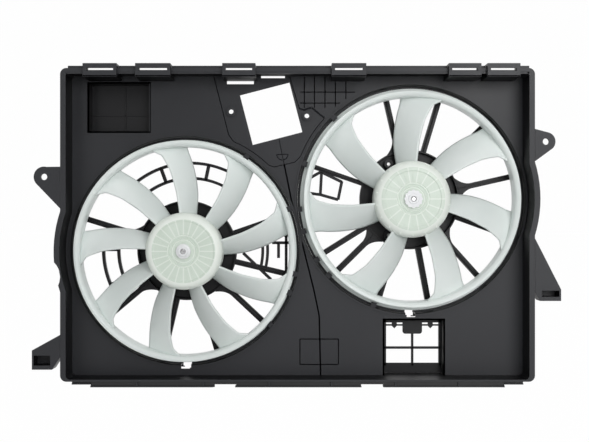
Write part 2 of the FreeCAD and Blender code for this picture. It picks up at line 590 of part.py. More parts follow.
def rotor(side):
    """Moulded rotor in three regions: ribbed hub cup, swept blades and the flanged ring joining the tips."""
    x, z = f"{side}X", f"{side}Z"
    hub = body(f"{side}HubBody", x, z)
    last = revolve(hub, [
        ("shaftRadius + hubFit", "hubFront"), ("hubRadius", "hubFront"), ("hubRadius", "hubRear"),
        ("hubRadius - hubWall", "hubRear"), ("hubRadius - hubWall", "hubFront + hubFace"),
        ("hubBoss", "hubFront + hubFace"), ("hubBoss", "hubFront + hubFace + hubBossLong"),
        ("shaftRadius + hubFit", "hubFront + hubFace + hubBossLong")])
    front, rim = number("hubFront"), number("hubRadius")
    last = soften(hub, last, f"{side}HubRound", lambda edge: edge.Curve.TypeId == "Part::GeomCircle"
                  and abs(edge.Curve.Radius - rim) < 0.01 and abs(edge.Vertexes[0].Point.y - front) < 0.01)
    rib = pad(hub, sketch(hub, rectangle("hubBoss - hubRibThick", f"hubRadius - {side}HubRound * 0.8",
                                                     "-hubRibThick / 2", "hubRibThick / 2"),
                          "-hubFront - hubFace + hubRibThick / 4"), "hubRibTall")
    circled(hub, rib, "hubRibs")
    keep(f"{side}_fan_hub", hub)

    hoop = body(f"{side}HoopBody", x, z)
    lip, wall = f"{side}Lip", "ringWall"
    revolve(hoop, [
        ("ringBore", "ringFront + ringCurl * 0.7"), ("ringBore + ringCurl * 0.15",
                                                     "ringFront + ringCurl * 0.2"),
        ("ringBore + ringCurl * 0.5", "ringFront"), (f"{lip} - ringCurl * 0.25", "ringFront"),
        (lip, "ringFront + ringCurl * 0.3"), (lip, "ringFront + ringCurl"),
        (f"{lip} - {wall}", "ringFront + ringCurl"), (f"{lip} - {wall}", f"ringFront + {wall}"),
        (f"ringBore + {wall}", f"ringFront + {wall} * 2"),
        (f"ringBore + {wall}", "ringRear - ringFlangeThick"), ("ringFlange", "ringRear - ringFlangeThick"),
        ("ringFlange", "ringRear"), ("ringBore", "ringRear")])
    keep(f"{side}_fan_ring", hoop)

    vanes = []
    for place in range(int(number(f"{side}Blades"))):
        vane = doc.addObject("Part::Feature", f"{side}Vane{place + 1}")
        vane.Shape = blade(side, place)
        vane.Placement = FreeCAD.Placement()
        vanes.append(seat(vane, x, "0", z))
    core = rod(f"{side}VaneCore", "hubRadius", "0", "barrelRear", x, z)
    reach = rod(f"{side}VaneReach", "ringBore", "0", "barrelRear", x, z)
    sleeve = less(f"{side}VaneSleeve", reach, core)
    trimmed = doc.addObject("Part::Common", f"{side}Vanes")
    trimmed.Base = joined(f"{side}VaneSet", vanes)
    trimmed.Tool = sleeve
    trimmed.Refine = False
    keep(f"{side}_fan_blades", trimmed)


def shaft(side):
    part = body(f"{side}ShaftBody", f"{side}X", f"{side}Z")
    revolve(part, [("shaftRadius * 0.6", "shaftFront"), ("shaftRadius", "shaftFront + edgeBreak"),
                   ("shaftRadius", "shaftRear - edgeBreak"),
                   ("shaftRadius * 0.6", "shaftRear"), ("0", "shaftRear"), ("0", "shaftFront")])
    keep(f"{side}_shaft", part)


def hub_nut(side):
    """Flanged nut that clamps the rotor on its shaft."""
    part = body(f"{side}NutBody", f"{side}X", f"{side}Z")
    bore = "shaftRadius + hubFit"
    if side == "left":
        last = revolve(part, [
            (bore, "nutRear - nutTall"), ("nutBody", "nutRear - nutTall"), ("leftWasher",
                                                                            "nutRear - nutTall + 1.5"),
            ("leftWasher", "nutRear - nutFlangeThick"), ("nutFlange", "nutRear - nutFlangeThick / 2"),
            ("nutFlange", "nutRear"), (bore, "nutRear")])
    else:
        last = revolve(part, [
            (bore, "nutRear - nutTall"), ("nutBody", "nutRear - nutTall"), ("nutBody + edgeBreak",
                                                                            "nutRear - nutTall / 2"),
            ("lobeNutRadius - edgeBreak", "nutRear - nutTall / 2 + 0.5"), ("lobeNutRadius",
                                                                           "nutRear - nutTall / 2 + 1.5"),
            ("lobeNutRadius", "nutRear"), (bore, "nutRear")])
        lobe = pad(part, disc(part, "lobeRadius", "lobeNutRadius - lobeRadius / 3", "0",
                                      "-nutRear + nutTall / 2 - edgeBreak"), "nutTall / 2 - edgeBreak")
        circled(part, lobe, "lobeCount")
    keep(f"{side}_hub_nut", part)


def motor(side):
    """Permanent-magnet motor behind one rotor, from the fixed can to the turning armature."""
    x, z = f"{side}X", f"{side}Z"
    seat_radius = "bearingRadius + seatGap"
    can = body(f"{side}CanBody", x, z)
    revolve(can, [
        (seat_radius, "canFront - bearingLong + canFace"), (f"{seat_radius} + canWall",
                                                            "canFront - bearingLong + canFace"),
        (f"{seat_radius} + canWall", "canFront"), ("canRadius - 2", "canFront"), ("canRadius",
                                                                                  "canFront + 2"),
        ("canRadius", "canRear"), ("canRadius - canWall", "canRear"),
        ("canRadius - canWall", "canFront + canFace"), (seat_radius, "canFront + canFace")])
    keep(f"{side}_motor_can", can)

    flange = body(f"{side}FlangeBody", x, z)
    revolve(flange, [("canRadius + seatGap", "cradleRear"), ("flangeRadius + 4", "cradleRear"),
                     ("flangeRadius + 4", "cradleRear + lugThick"), ("canRadius + lugThick",
                                                                     "cradleRear + lugThick"),
                     ("canRadius + lugThick", "cradleRear + lugThick * 3"), ("canRadius + seatGap",
                                                                             "cradleRear + lugThick * 3")])
    lug = pad(flange, sketch(flange, [
        ("flangeRadius", "-lugRadius * 1.6"), ("lugReach - lugRadius / 2", "-lugRadius"),
        ("arc", "lugReach + lugRadius / 2", "0"), ("lugReach - lugRadius / 2", "lugRadius"),
        ("flangeRadius", "lugRadius * 1.6")], "-cradleRear"), "lugThick")
    circled(flange, lug, "3")
    hole = pocket(flange, disc(flange, "screwRadius + seatGap", "lugReach - lugRadius / 2", "0"),
                  "cradleRear + lugThick + cutOver")
    circled(flange, hole, "3")
    keep(f"{side}_motor_flange", flange)

    screws = []
    reach = "(lugReach - lugRadius / 2)"
    for turn in (0, 120, 240):
        sx, sz = f"{x} + {reach} * cos({turn})", f"{z} + {reach} * sin({turn})"
        shank = rod(f"{side}Shank{turn}", "screwRadius", "cradleRear + lugThick - screwLong", "screwLong",
                    sx, sz)
        head = doc.addObject("Part::Prism", f"{side}Head{turn}")
        head.Polygon = 6
        head.Placement.Rotation = FreeCAD.Rotation(FreeCAD.Vector(1, 0, 0), -90)
        bind(head, Circumradius="screwHead", Height="screwHeadTall")
        seat(head, sx, "cradleRear + lugThick", sz)
        screws.append(joined(f"{side}Screw{turn}", [shank, head]))
    keep(f"{side}_motor_screws", joined(f"{side}Screws", screws))

    cap = body(f"{side}CapBody", x, z)
    revolve(cap, [
        ("rearBearing + seatGap", "canRear - 4"), ("rearBearing + seatGap + 2", "canRear - 4"),
        ("rearBearing + seatGap + 2", "canRear"), ("canRadius - edgeBreak",
                                                   "canRear"), ("canRadius - edgeBreak",
                                                                "canRear + capThick - edgeBreak"),
        ("canRadius - 2", "canRear + capThick"), ("capHub + edgeBreak", "canRear + capThick"), ("capHub",
                                                                                                "canRear + capHubTall - edgeBreak"),
        ("capHub - edgeBreak", "canRear + capHubTall"), ("0", "canRear + capHubTall"), ("0",
                                                                                        "canRear + capHubTall - 2"),
        ("rearBearing + seatGap", "canRear + capHubTall - 2")])
    keep(f"{side}_motor_cap", cap)

    for name, radius, front, long_ in (("front_bearing", "bearingRadius",
                                        "canFront - bearingLong + canFace", "bearingLong"),
                                       ("rear_bearing", "rearBearing", "canRear - 3", "bearingLong")):
        race = body(f"{side}{name}", x, z)
        inner = "shaftRadius + shaftFit"
        revolve(race, [(inner, front), (f"{radius}", front), (f"{radius}", f"{front} + {long_}"),
                       (inner, f"{front} + {long_}")])
        keep(f"{side}_{name}", race)

    core = body(f"{side}CoreBody", x, z)
    revolve(core, [("shaftRadius + hubFit", "coreFront"), ("coreRadius", "coreFront"), ("coreRadius",
                                                                                        "coreRear"),
                   ("shaftRadius + hubFit", "coreRear")])
    deep = "coreRadius - toothTip"
    slot = pocket(core, sketch(core, [
        ("slotFloor", "-slotWide / 4"), (deep, "-slotWide / 1.4"), (deep,
                                                                    "-slotMouth / 2"), ("coreRadius + cutOver", "-slotMouth / 2"),
        ("coreRadius + cutOver", "slotMouth / 2"), (deep, "slotMouth / 2"), (deep, "slotWide / 1.4"),
        ("slotFloor", "slotWide / 4")]), "coreRear + cutOver")
    circled(core, slot, "coreSlots")
    keep(f"{side}_armature_core", core)

    coil = body(f"{side}CoilBody", x, z)
    revolve(coil, [("coilInner", "coreFront - coilReach"), ("coilRadius", "coreFront - coilReach"),
                   ("coilRadius", "coreFront - 0.3"), ("coilInner", "coreFront - 0.3")])
    bar = pad(coil, sketch(coil, rectangle("slotFloor + edgeBreak", "coilRadius - 0.5", "-slotWide / 5",
                                           "slotWide / 5"),
                           "-coreFront + edgeBreak"), "coreRear - coreFront + 2")
    circled(coil, bar, "coreSlots")
    rear = rod(f"{side}CoilRear", "coilRadius", "coreRear + 0.3", "coilReach", x, z)
    rear_bore = rod(f"{side}CoilRearBore", "coilInner", "coreRear", "coilReach + cutOver", x, z)
    keep(f"{side}_windings", joined(f"{side}Coil", [coil, less(f"{side}CoilEnd", rear, rear_bore)]))

    bars = body(f"{side}BarsBody", x, z)
    revolve(bars, [("shaftRadius + hubFit", "commutatorFront"), ("commutatorRadius + 2", "commutatorFront"),
                   ("commutatorRadius + 2", "commutatorFront + 1.5"), ("commutatorRadius",
                                                                       "commutatorFront + 1.5"),
                   ("commutatorRadius", "commutatorFront + commutatorLong"),
                   ("shaftRadius + hubFit", "commutatorFront + commutatorLong")])
    split = pocket(bars, sketch(bars, rectangle("commutatorRadius - 1.2", "commutatorRadius + 3",
                                                            "-barSplit / 2", "barSplit / 2")),
                   "commutatorFront + commutatorLong + cutOver")
    circled(bars, split, "coreSlots")
    keep(f"{side}_commutator", bars)

    shell = rod(f"{side}MagnetShell", "canRadius - canWall - seatGap", "coreFront - 3",
                "coreRear - coreFront + 6", x, z)
    hollow = rod(f"{side}MagnetHollow", "coreRadius + airGap", "coreFront - 4", "coreRear - coreFront + 8",
                 x, z)
    cross = [block(f"{side}CrossFlat", f"{x} - canRadius", "coreFront - 4", f"{z} - 6", "canRadius * 2",
                   "coreRear - coreFront + 8", "12"),
             block(f"{side}CrossTall", f"{x} - 6", "coreFront - 4", f"{z} - canRadius", "12",
                   "coreRear - coreFront + 8", "canRadius * 2")]
    keep(f"{side}_magnets", less(f"{side}Magnets", less(f"{side}MagnetRing", shell, hollow),
                                 joined(f"{side}Cross", cross)))

    card = body(f"{side}CardBody", x, z)
    plate_front = "(commutatorFront + commutatorLong + cardGap)"
    revolve(card, [("commutatorRadius + 2", plate_front), ("canRadius - canWall - seatGap", plate_front),
                   ("canRadius - canWall - seatGap", f"{plate_front} + cardThick"),
                   ("commutatorRadius + 2", f"{plate_front} + cardThick")])
    holder = pad(card, sketch(card, rectangle(
        "commutatorRadius + 3", "commutatorRadius + brushGap + brushLong", "-brushTall / 2 - holderWall",
        "brushTall / 2 + holderWall"), f"-{plate_front} + brushWide + cutOver"), "brushWide + cutOver")
    circled(card, holder, "4")
    slot = pocket(card, sketch(card, rectangle(
        "commutatorRadius + 2", "commutatorRadius + brushGap + brushLong + 2", "-brushTall / 2 - seatGap",
        "brushTall / 2 + seatGap")), plate_front)
    circled(card, slot, "4")
    keep(f"{side}_brush_card", card)

    brushes = []
    for turn in (0, 90, 180, 270):
        brush = body(f"{side}Brush{turn}", x, z)
        outline = rectangle("commutatorRadius + brushGap",
                            "commutatorRadius + brushGap + brushLong - edgeBreak",
                            "-brushTall / 2", "brushTall / 2")
        pad(brush, sketch(brush, turned(outline, str(turn)), f"-{plate_front} + brushWide + seatGap"),
            "brushWide")
        brushes.append(brush)
    keep(f"{side}_brushes", joined(f"{side}Brushes", brushes))

    rear_face = "(canRear + capThick)"
    inlet = block(f"{side}InletOuter", f"{x} - inletWide / 2", rear_face,
                  f"{z} - inletReach - inletTall / 2",
                  "inletWide", "inletLong * 0.5", "inletTall")
    hollow = block(f"{side}InletHollow", f"{x} - inletWide / 2 + inletWall", f"{rear_face} + inletWall",
                   f"{z} - inletReach - inletTall / 2 + inletWall", "inletWide - 2 * inletWall", "inletLong",
                   "inletTall - 2 * inletWall")
    keep(f"{side}_power_inlet", less(f"{side}Inlet", inlet, hollow))
    tabs = []
    for spot in ("-1", "1"):
        tabs.append(block(f"{side}Tab{'A' if spot == '1' else 'B'}",
                          f"{x} + {spot} * bladeTabSpan / 2 - bladeTab / 2", f"{rear_face} + inletWall",
                          f"{z} - inletReach - bladeTabThick / 2", "bladeTab", "inletLong * 0.4", "bladeTabThick"))
    keep(f"{side}_inlet_blades", joined(f"{side}Tabs", tabs))


tray()
bottom_flange()
grille()
clip_loops()
for side in SIDES:
    barrel(side)
    cradle(side)
    ear(side)
    hook_socket(side)
    rotor(side)
    shaft(side)
    hub_nut(side)
    motor(side)
doc.recompute()

for thing in doc.Objects:
    if "Invalid" in thing.State or "Error" in thing.State:
        raise RuntimeError(f"{thing.Name} failed: {thing.State}")
os.makedirs("parts", exist_ok=True)
for node, thing in nodes.items():
    shape = thing.Shape
    if shape.isNull() or not shape.isValid() or not shape.Solids:
        raise RuntimeError(f"{node} has no sound shape")
for node, thing in nodes.items():
    thing.Shape.exportStep(f"parts/{node}.step")
    box = thing.Shape.BoundBox
    print(f"{node:24s} solids {len(thing.Shape.Solids)} volume {thing.Shape.Volume / 1000:9.2f} cm3  "
          f"x {box.XMin:.0f}..{box.XMax:.0f} y {box.YMin:.0f}..{box.YMax:.0f} z {box.ZMin:.0f}..{box.ZMax:.0f}")
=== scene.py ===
import json
import math

import bmesh
import bpy
from mathutils import Matrix, Vector

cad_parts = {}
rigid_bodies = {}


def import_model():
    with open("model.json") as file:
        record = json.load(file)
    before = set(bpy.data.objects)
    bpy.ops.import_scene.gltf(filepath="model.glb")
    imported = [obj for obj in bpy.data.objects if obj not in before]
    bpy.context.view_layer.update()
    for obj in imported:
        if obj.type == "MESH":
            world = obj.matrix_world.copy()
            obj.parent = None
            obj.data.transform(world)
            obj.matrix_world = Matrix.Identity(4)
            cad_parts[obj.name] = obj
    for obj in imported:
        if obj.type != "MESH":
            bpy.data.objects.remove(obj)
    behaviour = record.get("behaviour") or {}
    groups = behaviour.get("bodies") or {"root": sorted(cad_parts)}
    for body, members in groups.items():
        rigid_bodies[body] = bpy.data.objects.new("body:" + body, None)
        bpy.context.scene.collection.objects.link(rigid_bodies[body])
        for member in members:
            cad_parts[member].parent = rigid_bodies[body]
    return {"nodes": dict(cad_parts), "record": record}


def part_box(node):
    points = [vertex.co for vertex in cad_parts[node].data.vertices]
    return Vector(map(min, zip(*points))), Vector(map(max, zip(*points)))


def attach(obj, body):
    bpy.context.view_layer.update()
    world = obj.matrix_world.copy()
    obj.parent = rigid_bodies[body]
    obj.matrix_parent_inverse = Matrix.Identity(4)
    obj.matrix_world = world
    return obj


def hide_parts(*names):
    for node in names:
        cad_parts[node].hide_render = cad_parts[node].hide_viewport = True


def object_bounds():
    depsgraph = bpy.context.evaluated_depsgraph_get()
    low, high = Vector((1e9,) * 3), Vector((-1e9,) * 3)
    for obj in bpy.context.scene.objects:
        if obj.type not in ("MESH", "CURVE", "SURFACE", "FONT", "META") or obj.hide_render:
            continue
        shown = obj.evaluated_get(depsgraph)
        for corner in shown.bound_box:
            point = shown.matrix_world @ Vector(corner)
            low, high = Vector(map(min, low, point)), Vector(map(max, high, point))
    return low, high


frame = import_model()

for thing in list(bpy.data.objects):
    if thing.type in ("CAMERA", "LIGHT") or thing.name == "Cube":
        bpy.data.objects.remove(thing)
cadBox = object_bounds()
nodes = frame["nodes"]
scene = bpy.context.scene
scene.view_settings.view_transform = "Standard"
mm = 0.001


def addNode(tree, kind, settings, inputs, output=0):
    made = tree.nodes.new("ShaderNode" + kind)
    for name, setting in settings.items():
        setattr(made, name, setting)
    for name, given in inputs.items():
        if isinstance(given, Value):
            tree.links.new(given.socket, made.inputs[name])
        elif given is not None:
            made.inputs[name].default_value = given
    return Value(tree, made.outputs[output])


def combine(operation, first, second=None):
    tree = first.tree if isinstance(first, Value) else second.tree
    return addNode(tree, "Math", {"operation": operation}, {0: first, 1: second})


class Value:
    # a shader socket that takes part in sums
    def __init__(self, tree, socket):
        self.tree, self.socket = tree, socket

    def __add__(self, other):
        return combine("ADD", self, other)

    def __radd__(self, other):
        return combine("ADD", other, self)

    def __sub__(self, other):
        return combine("SUBTRACT", self, other)

    def __rsub__(self, other):
        return combine("SUBTRACT", other, self)

    def __mul__(self, other):
        return combine("MULTIPLY", self, other)

    def __rmul__(self, other):
        return combine("MULTIPLY", other, self)

    def __pow__(self, other):
        return combine("POWER", self, other)

    def __gt__(self, other):
        return combine("GREATER_THAN", self, other)

    def __lt__(self, other):
        return combine("LESS_THAN", self, other)


def startFinish(name):
    finish = bpy.data.materials.new(name)
    finish.use_nodes = True
    tree = finish.node_tree
    shader = next(each for each in tree.nodes if each.type == "BSDF_PRINCIPLED")
    return finish, tree, shader


def feed(tree, shader, **sources):
    for name, source in sources.items():
        socket = shader.inputs[name.replace("_", " ")]
        if isinstance(source, Value):
            tree.links.new(source.socket, socket)
        else:
            socket.default_value = source


def place(tree):
    return addNode(tree, "TexCoord", {}, {}, "Object")


def part(tree, vector, axis):
    return addNode(tree, "SeparateXYZ", {}, {"Vector": vector}, axis)


def grain(tree, spot, scale, detail=2.0):
    return addNode(tree, "TexNoise", {}, {"Vector": spot, "Scale": scale, "Detail": detail})


def blendColour(tree, mask, first, second):
    # the Mix node's sockets share their names, so its colours are reached by number
    return addNode(tree, "Mix", {"data_type": "RGBA"}, {0: mask, 6: first, 7: second}, 2)


def bump(tree, height, strength, distance):
    return addNode(tree, "Bump", {}, {"Height": height, "Strength": strength, "Distance": distance}, "Normal")


def finishPiece(name, mesh, finish, body, replaced=(), sharp=32, bevel=0):
    # a mesh made an object that rides on a body, smooth but for edges sharper than an angle
    data = bpy.data.meshes.new(name)
    mesh.to_mesh(data)
    mesh.free()
    if "custom_normal" in data.attributes:  # left over in copies of the solids
        data.attributes.remove(data.attributes["custom_normal"])
    piece = bpy.data.objects.new(name, data)
    scene.collection.objects.link(piece)
    data.shade_smooth()
    data.set_sharp_from_angle(angle=math.radians(sharp))
    data.materials.append(finish)
    if bevel:
        rounded = piece.modifiers.new("edges", "BEVEL")
        rounded.width, rounded.segments, rounded.limit_method = bevel * mm, 2, "ANGLE"
        rounded.angle_limit = math.radians(40)
        rounded.harden_normals = False
    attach(piece, body)
    if replaced:
        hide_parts(*replaced)
    return piece


def slab(mesh, outline, front, back):
    # a closed outline in X and Z, in millimetres, made solid between two depths
    edge = [mesh.verts.new((x * mm, front * mm, z * mm)) for x, z in outline]
    grown = bmesh.ops.extrude_face_region(mesh, geom=[mesh.faces.new(edge)])
    moved = [each for each in grown["geom"] if isinstance(each, bmesh.types.BMVert)]
    bmesh.ops.translate(mesh, verts=moved, vec=(0, (back - front) * mm, 0))


def brick(mesh, xLow, xHigh, zLow, zHigh, front, back):
    slab(mesh, [(xLow, zLow), (xHigh, zLow), (xHigh, zHigh), (xLow, zHigh)], front, back)


def bar(mesh, start, end, wide, front, back, endWide=None):
    # a straight strip from one point to another
    across = Vector((start[1] - end[1], end[0] - start[0])).normalized() / 2
    near, far = across * wide, across * (endWide or wide)
    slab(mesh, [(start[0] + near.x, start[1] + near.y), (start[0] - near.x, start[1] - near.y),
                (end[0] - far.x, end[1] - far.y), (end[0] + far.x, end[1] + far.y)], front, back)


def groove(mesh, points, wide, top, deep, above=0.3):
    # a narrow V along a run of points, to be cut in a face
    for start, end in zip(points, points[1:]):
        across, rims = Vector((start[1] - end[1], end[0] - start[0])).normalized() * wide / 2, []
        for x, z in (start, end):
            corners = [mesh.verts.new(((x + across.x * side) * mm, depth * mm, (z + across.y * side) * mm))
                       for side, depth in ((1, top - above), (-1, top - above), (0, top + deep))]
            rims += mesh.faces.new(corners).edges
        bmesh.ops.bridge_loops(mesh, edges=rims)


def fromCentre(centre, radius, angle):
    turn = math.radians(angle)
    return centre[0] + radius * math.cos(turn), centre[1] + radius * math.sin(turn)


def arc(centre, radius, start, end, steps):
    return [fromCentre(centre, radius, start + (end - start) * step / steps) for step in range(steps + 1)]


def band(mesh, centre, radius, wide, start, end, front, back, steps=24):
    # an arc-shaped strip
    slab(mesh, arc(centre, radius + wide / 2, start, end, steps)
         + arc(centre, radius - wide / 2, end, start, steps), front, back)


def lathe(profile, centre, steps, mesh=None):
    # a closed (radius, depth) outline in millimetres spun about a fan axis
    mesh = mesh or bmesh.new()
    hub = Vector((centre[0] * mm, 0, centre[1] * mm))
    ring = [mesh.verts.new(hub + Vector((radius * mm, depth * mm, 0))) for radius, depth in profile]
    edges = [mesh.edges.new(pair) for pair in zip(ring, ring[1:] + ring[:1])]
    bmesh.ops.spin(mesh, geom=ring + edges, cent=hub, axis=(0, 1, 0), dvec=(0, 0, 0),
                   angle=2 * math.pi, steps=steps, use_merge=True, use_duplicate=False)
    bmesh.ops.remove_doubles(mesh, verts=mesh.verts, dist=1e-6)
    return mesh


def closed(mesh):
    bmesh.ops.recalc_face_normals(mesh, faces=mesh.faces)
    return mesh


def copied(node):
    mesh = bmesh.new()
    mesh.from_mesh(nodes[node].data)
    bmesh.ops.remove_doubles(mesh, verts=mesh.verts, dist=2e-6)
    return mesh


def carved(mesh, cutter):
    # the mesh with the cutter's solids taken out of it
    things = []
    for name, source in (("base", mesh), ("cutter", closed(cutter))):
        data = bpy.data.meshes.new(name)
        source.to_mesh(data)
        source.free()
        things.append(bpy.data.objects.new(name, data))
        scene.collection.objects.link(things[-1])
    cut = things[0].modifiers.new("cut", "BOOLEAN")
    cut.operation, cut.solver, cut.use_self, cut.object = "DIFFERENCE", "EXACT", True, things[1]
    graph = bpy.context.evaluated_depsgraph_get()
    rest = bmesh.new()
    rest.from_mesh(bpy.data.meshes.new_from_object(things[0].evaluated_get(graph)))
    for thing in things:
        bpy.data.objects.remove(thing)
    return rest


view = {"spot": (-0.0044, -1.5, 0.0056), "lens": 63.11, "near": 0.05, "far": 40}
eye = bpy.data.objects.new("eye", bpy.data.cameras.new("eye"))
scene.collection.objects.link(eye)
eye.location = view["spot"]
eye.rotation_euler = (math.pi / 2, 0, 0)
eye.data.lens = view["lens"]
eye.data.clip_start, eye.data.clip_end = view["near"], view["far"]
scene.camera = eye

stage = {"half": 20, "tall": 24, "drop": 0.004, "tone": 0.86, "white": 0.99}
stageFinish, tree, shader = startFinish("paleStage")
feed(tree, shader, Base_Color=(stage["tone"],) * 3 + (1,), Roughness=0.9, Specular_IOR_Level=0.1)
rays = [addNode(tree, "LightPath", {}, {}, output) for output in ("Is Camera Ray", "Is Glossy Ray")]
white = addNode(tree, "Emission", {}, {"Color": (1, 1, 1, 1), "Strength": 1.0})
seen = (rays[0] + rays[1]) * stage["white"]
shown = addNode(tree, "MixShader", {}, {0: seen, 1: Value(tree, shader.outputs[0]), 2: white})
ending = next(each for each in tree.nodes if each.type == "OUTPUT_MATERIAL")
tree.links.new(shown.socket, ending.inputs["Surface"])
floorMesh = bmesh.new()
bmesh.ops.create_grid(floorMesh, x_segments=1, y_segments=1, size=stage["half"])
bmesh.ops.translate(floorMesh, verts=floorMesh.verts, vec=(0, 0, cadBox[0].z - stage["drop"]))
rearEdges = [edge for edge in floorMesh.edges if all(vert.co.y > 0 for vert in edge.verts)]
grown = bmesh.ops.extrude_edge_only(floorMesh, edges=rearEdges)
risen = [each for each in grown["geom"] if isinstance(each, bmesh.types.BMVert)]
bmesh.ops.translate(floorMesh, verts=risen, vec=(0, 0, stage["tall"]))
floorData = bpy.data.meshes.new("floor")
floorMesh.to_mesh(floorData)
floorMesh.free()
floor = bpy.data.objects.new("floor", floorData)
floorData.materials.append(stageFinish)
scene.collection.objects.link(floor)

room = 0.24  # strength of the light from all round
aim = Vector((0, 0.03, 0))
lamps = {
    "key": {"spot": (0.9, -2.2, 0.5), "size": 1.2, "power": 25},
    "fill": {"spot": (-1.5, -2.1, 0.8), "size": 1.4, "power": 8.5},
    "top": {"spot": (0.2, -1.2, 1.9), "size": 1.2, "power": 7.5},
    "rear": {"spot": (0.3, 1.6, 1.5), "size": 1.6, "power": 7},
}
for name, lamp in lamps.items():
    light = bpy.data.lights.new(name, "AREA")
    light.size, light.energy = lamp["size"], lamp["power"]
    held = bpy.data.objects.new(name, light)
    held.location = lamp["spot"]
    held.rotation_euler = (aim - held.location).to_track_quat("-Z", "Y").to_euler()
    scene.collection.objects.link(held)
world = bpy.data.worlds.new("softRoom")
world.use_nodes = True
scene.world = world
sky = next(each for each in world.node_tree.nodes if each.type == "BACKGROUND")
sky.inputs["Color"].default_value = (1, 1, 1, 1)
sky.inputs["Strength"].default_value = room
print("camera, floor and lamps are set")


def shroudPlastic():
    # painted light and shade: the rim is painted paler as a highlight and the pieces behind the floor darker
    # as shade, so the rim and the floor are paler than the pieces behind them; faces along the depth get the
    # darkest painted shade
    look = {"floor": (0.016, 0.0168, 0.0195, 1), "drift": (0.037, 0.038, 0.043, 1),
            # rim is a painted highlight; wall and behind are painted shade
            "rim": (0.030, 0.031, 0.035, 1), "wall": (0.003, 0.003, 0.004, 1),
            "behind": (0.008, 0.008, 0.0095, 1), "rimHighlightDeep": 0.0034, "behindShadeDeep": 0.062, "wallShadeSteep": 0.25,
            "cloud": 5, "grain": 900, "rough": 0.42, "shine": 0.3}
    finish, tree, shader = startFinish("shroudPlastic")
    spot = place(tree)
    depth = part(tree, spot, "Y")
    facing = part(tree, addNode(tree, "TexCoord", {}, {}, "Normal"), "Y")
    drift = grain(tree, spot, look["cloud"], 3)
    fine = grain(tree, spot, look["grain"])
    tone = blendColour(tree, drift, look["floor"], look["drift"])
    # painted highlight on the rim, painted shade behind the floor and the darkest painted shade on faces
    # along the depth
    tone = blendColour(tree, depth < look["rimHighlightDeep"], tone, look["rim"])
    tone = blendColour(tree, depth > look["behindShadeDeep"], tone, look["behind"])
    tone = blendColour(tree, (facing * facing) < look["wallShadeSteep"], tone, look["wall"])
    feed(tree, shader, Base_Color=tone, Roughness=look["rough"] + (drift - 0.5) * 0.22 + (fine - 0.5) * 0.08,
         Normal=bump(tree, fine, 0.12, 0.0002), Specular_IOR_Level=look["shine"])
    return finish


def fanPlastic(name, centre=None, ribs=0, rim=0.057):
    # natural nylon with a faint green cast; on a hub, painted light: the ribs behind its face are painted
    # paler where light shines through it, and two rings and the shoulder are painted paler as highlights
    look = {"thin": (0.70, 0.77, 0.745, 1), "thick": (0.86, 0.90, 0.885, 1), "hub": (0.62, 0.71, 0.62, 1),
            "hubCloud": (0.74, 0.82, 0.74, 1), "glow": (0.93, 0.97, 0.92, 1), "rough": 0.36, "grain": 700,
            "ribHalf": 0.00045, "ribs": (0.42, 0.82), "rings": ((0.28, 0.30), (0.40, 0.42)),
            "ribGlow": 0.45, "ringGlow": 0.6, "shoulderHighlight": 0.7}
    finish, tree, shader = startFinish(name)
    spot = place(tree)
    cloud = grain(tree, spot, 14, 4)
    fine = grain(tree, spot, look["grain"])
    tone = blendColour(tree, cloud, look["thin"], look["thick"])
    if centre:
        across, above = part(tree, spot, "X") - centre[0], part(tree, spot, "Z") - centre[1]
        radius = (across * across + above * above) ** 0.5
        wave = combine("SINE", combine("ARCTAN2", above, across) * (ribs / 2)) * radius

        def between(low, high):
            return (radius > rim * low) * (radius < rim * high)

        # painted light: paler ribs for light through the face, painted highlights on two rings and the
        # shoulder
        rib = ((wave * wave) < (look["ribHalf"] * ribs) ** 2) * between(*look["ribs"])
        rings = between(*look["rings"][0]) + between(*look["rings"][1])
        edge = (radius > rim * look["ribs"][1]) * look["shoulderHighlight"]
        tone = blendColour(tree, grain(tree, spot, 34, 3), look["hub"], look["hubCloud"])
        tone = blendColour(tree, rib * look["ribGlow"] + rings * look["ringGlow"] + edge, tone, look["glow"])
    feed(tree, shader, Base_Color=tone, Roughness=look["rough"] + (cloud - 0.5) * 0.2,
         Normal=bump(tree, fine, 0.06, 0.0002))
    return finish


def plain(name, tone, other, rough, metal=0.0, scale=60, spread=0.2, stretch=(1, 1, 1)):
    # tone drifting between two shades, with a fine bump and uneven gloss
    finish, tree, shader = startFinish(name)
    spot = addNode(tree, "Mapping", {}, {"Vector": place(tree), "Scale": stretch})
    cloud = grain(tree, spot, scale, 4)
    feed(tree, shader, Base_Color=blendColour(tree, cloud, (*tone, 1), (*other, 1)), Metallic=metal,
         Roughness=rough + (cloud - 0.5) * spread, Normal=bump(tree, cloud, 0.08, 0.0003))
    return finish


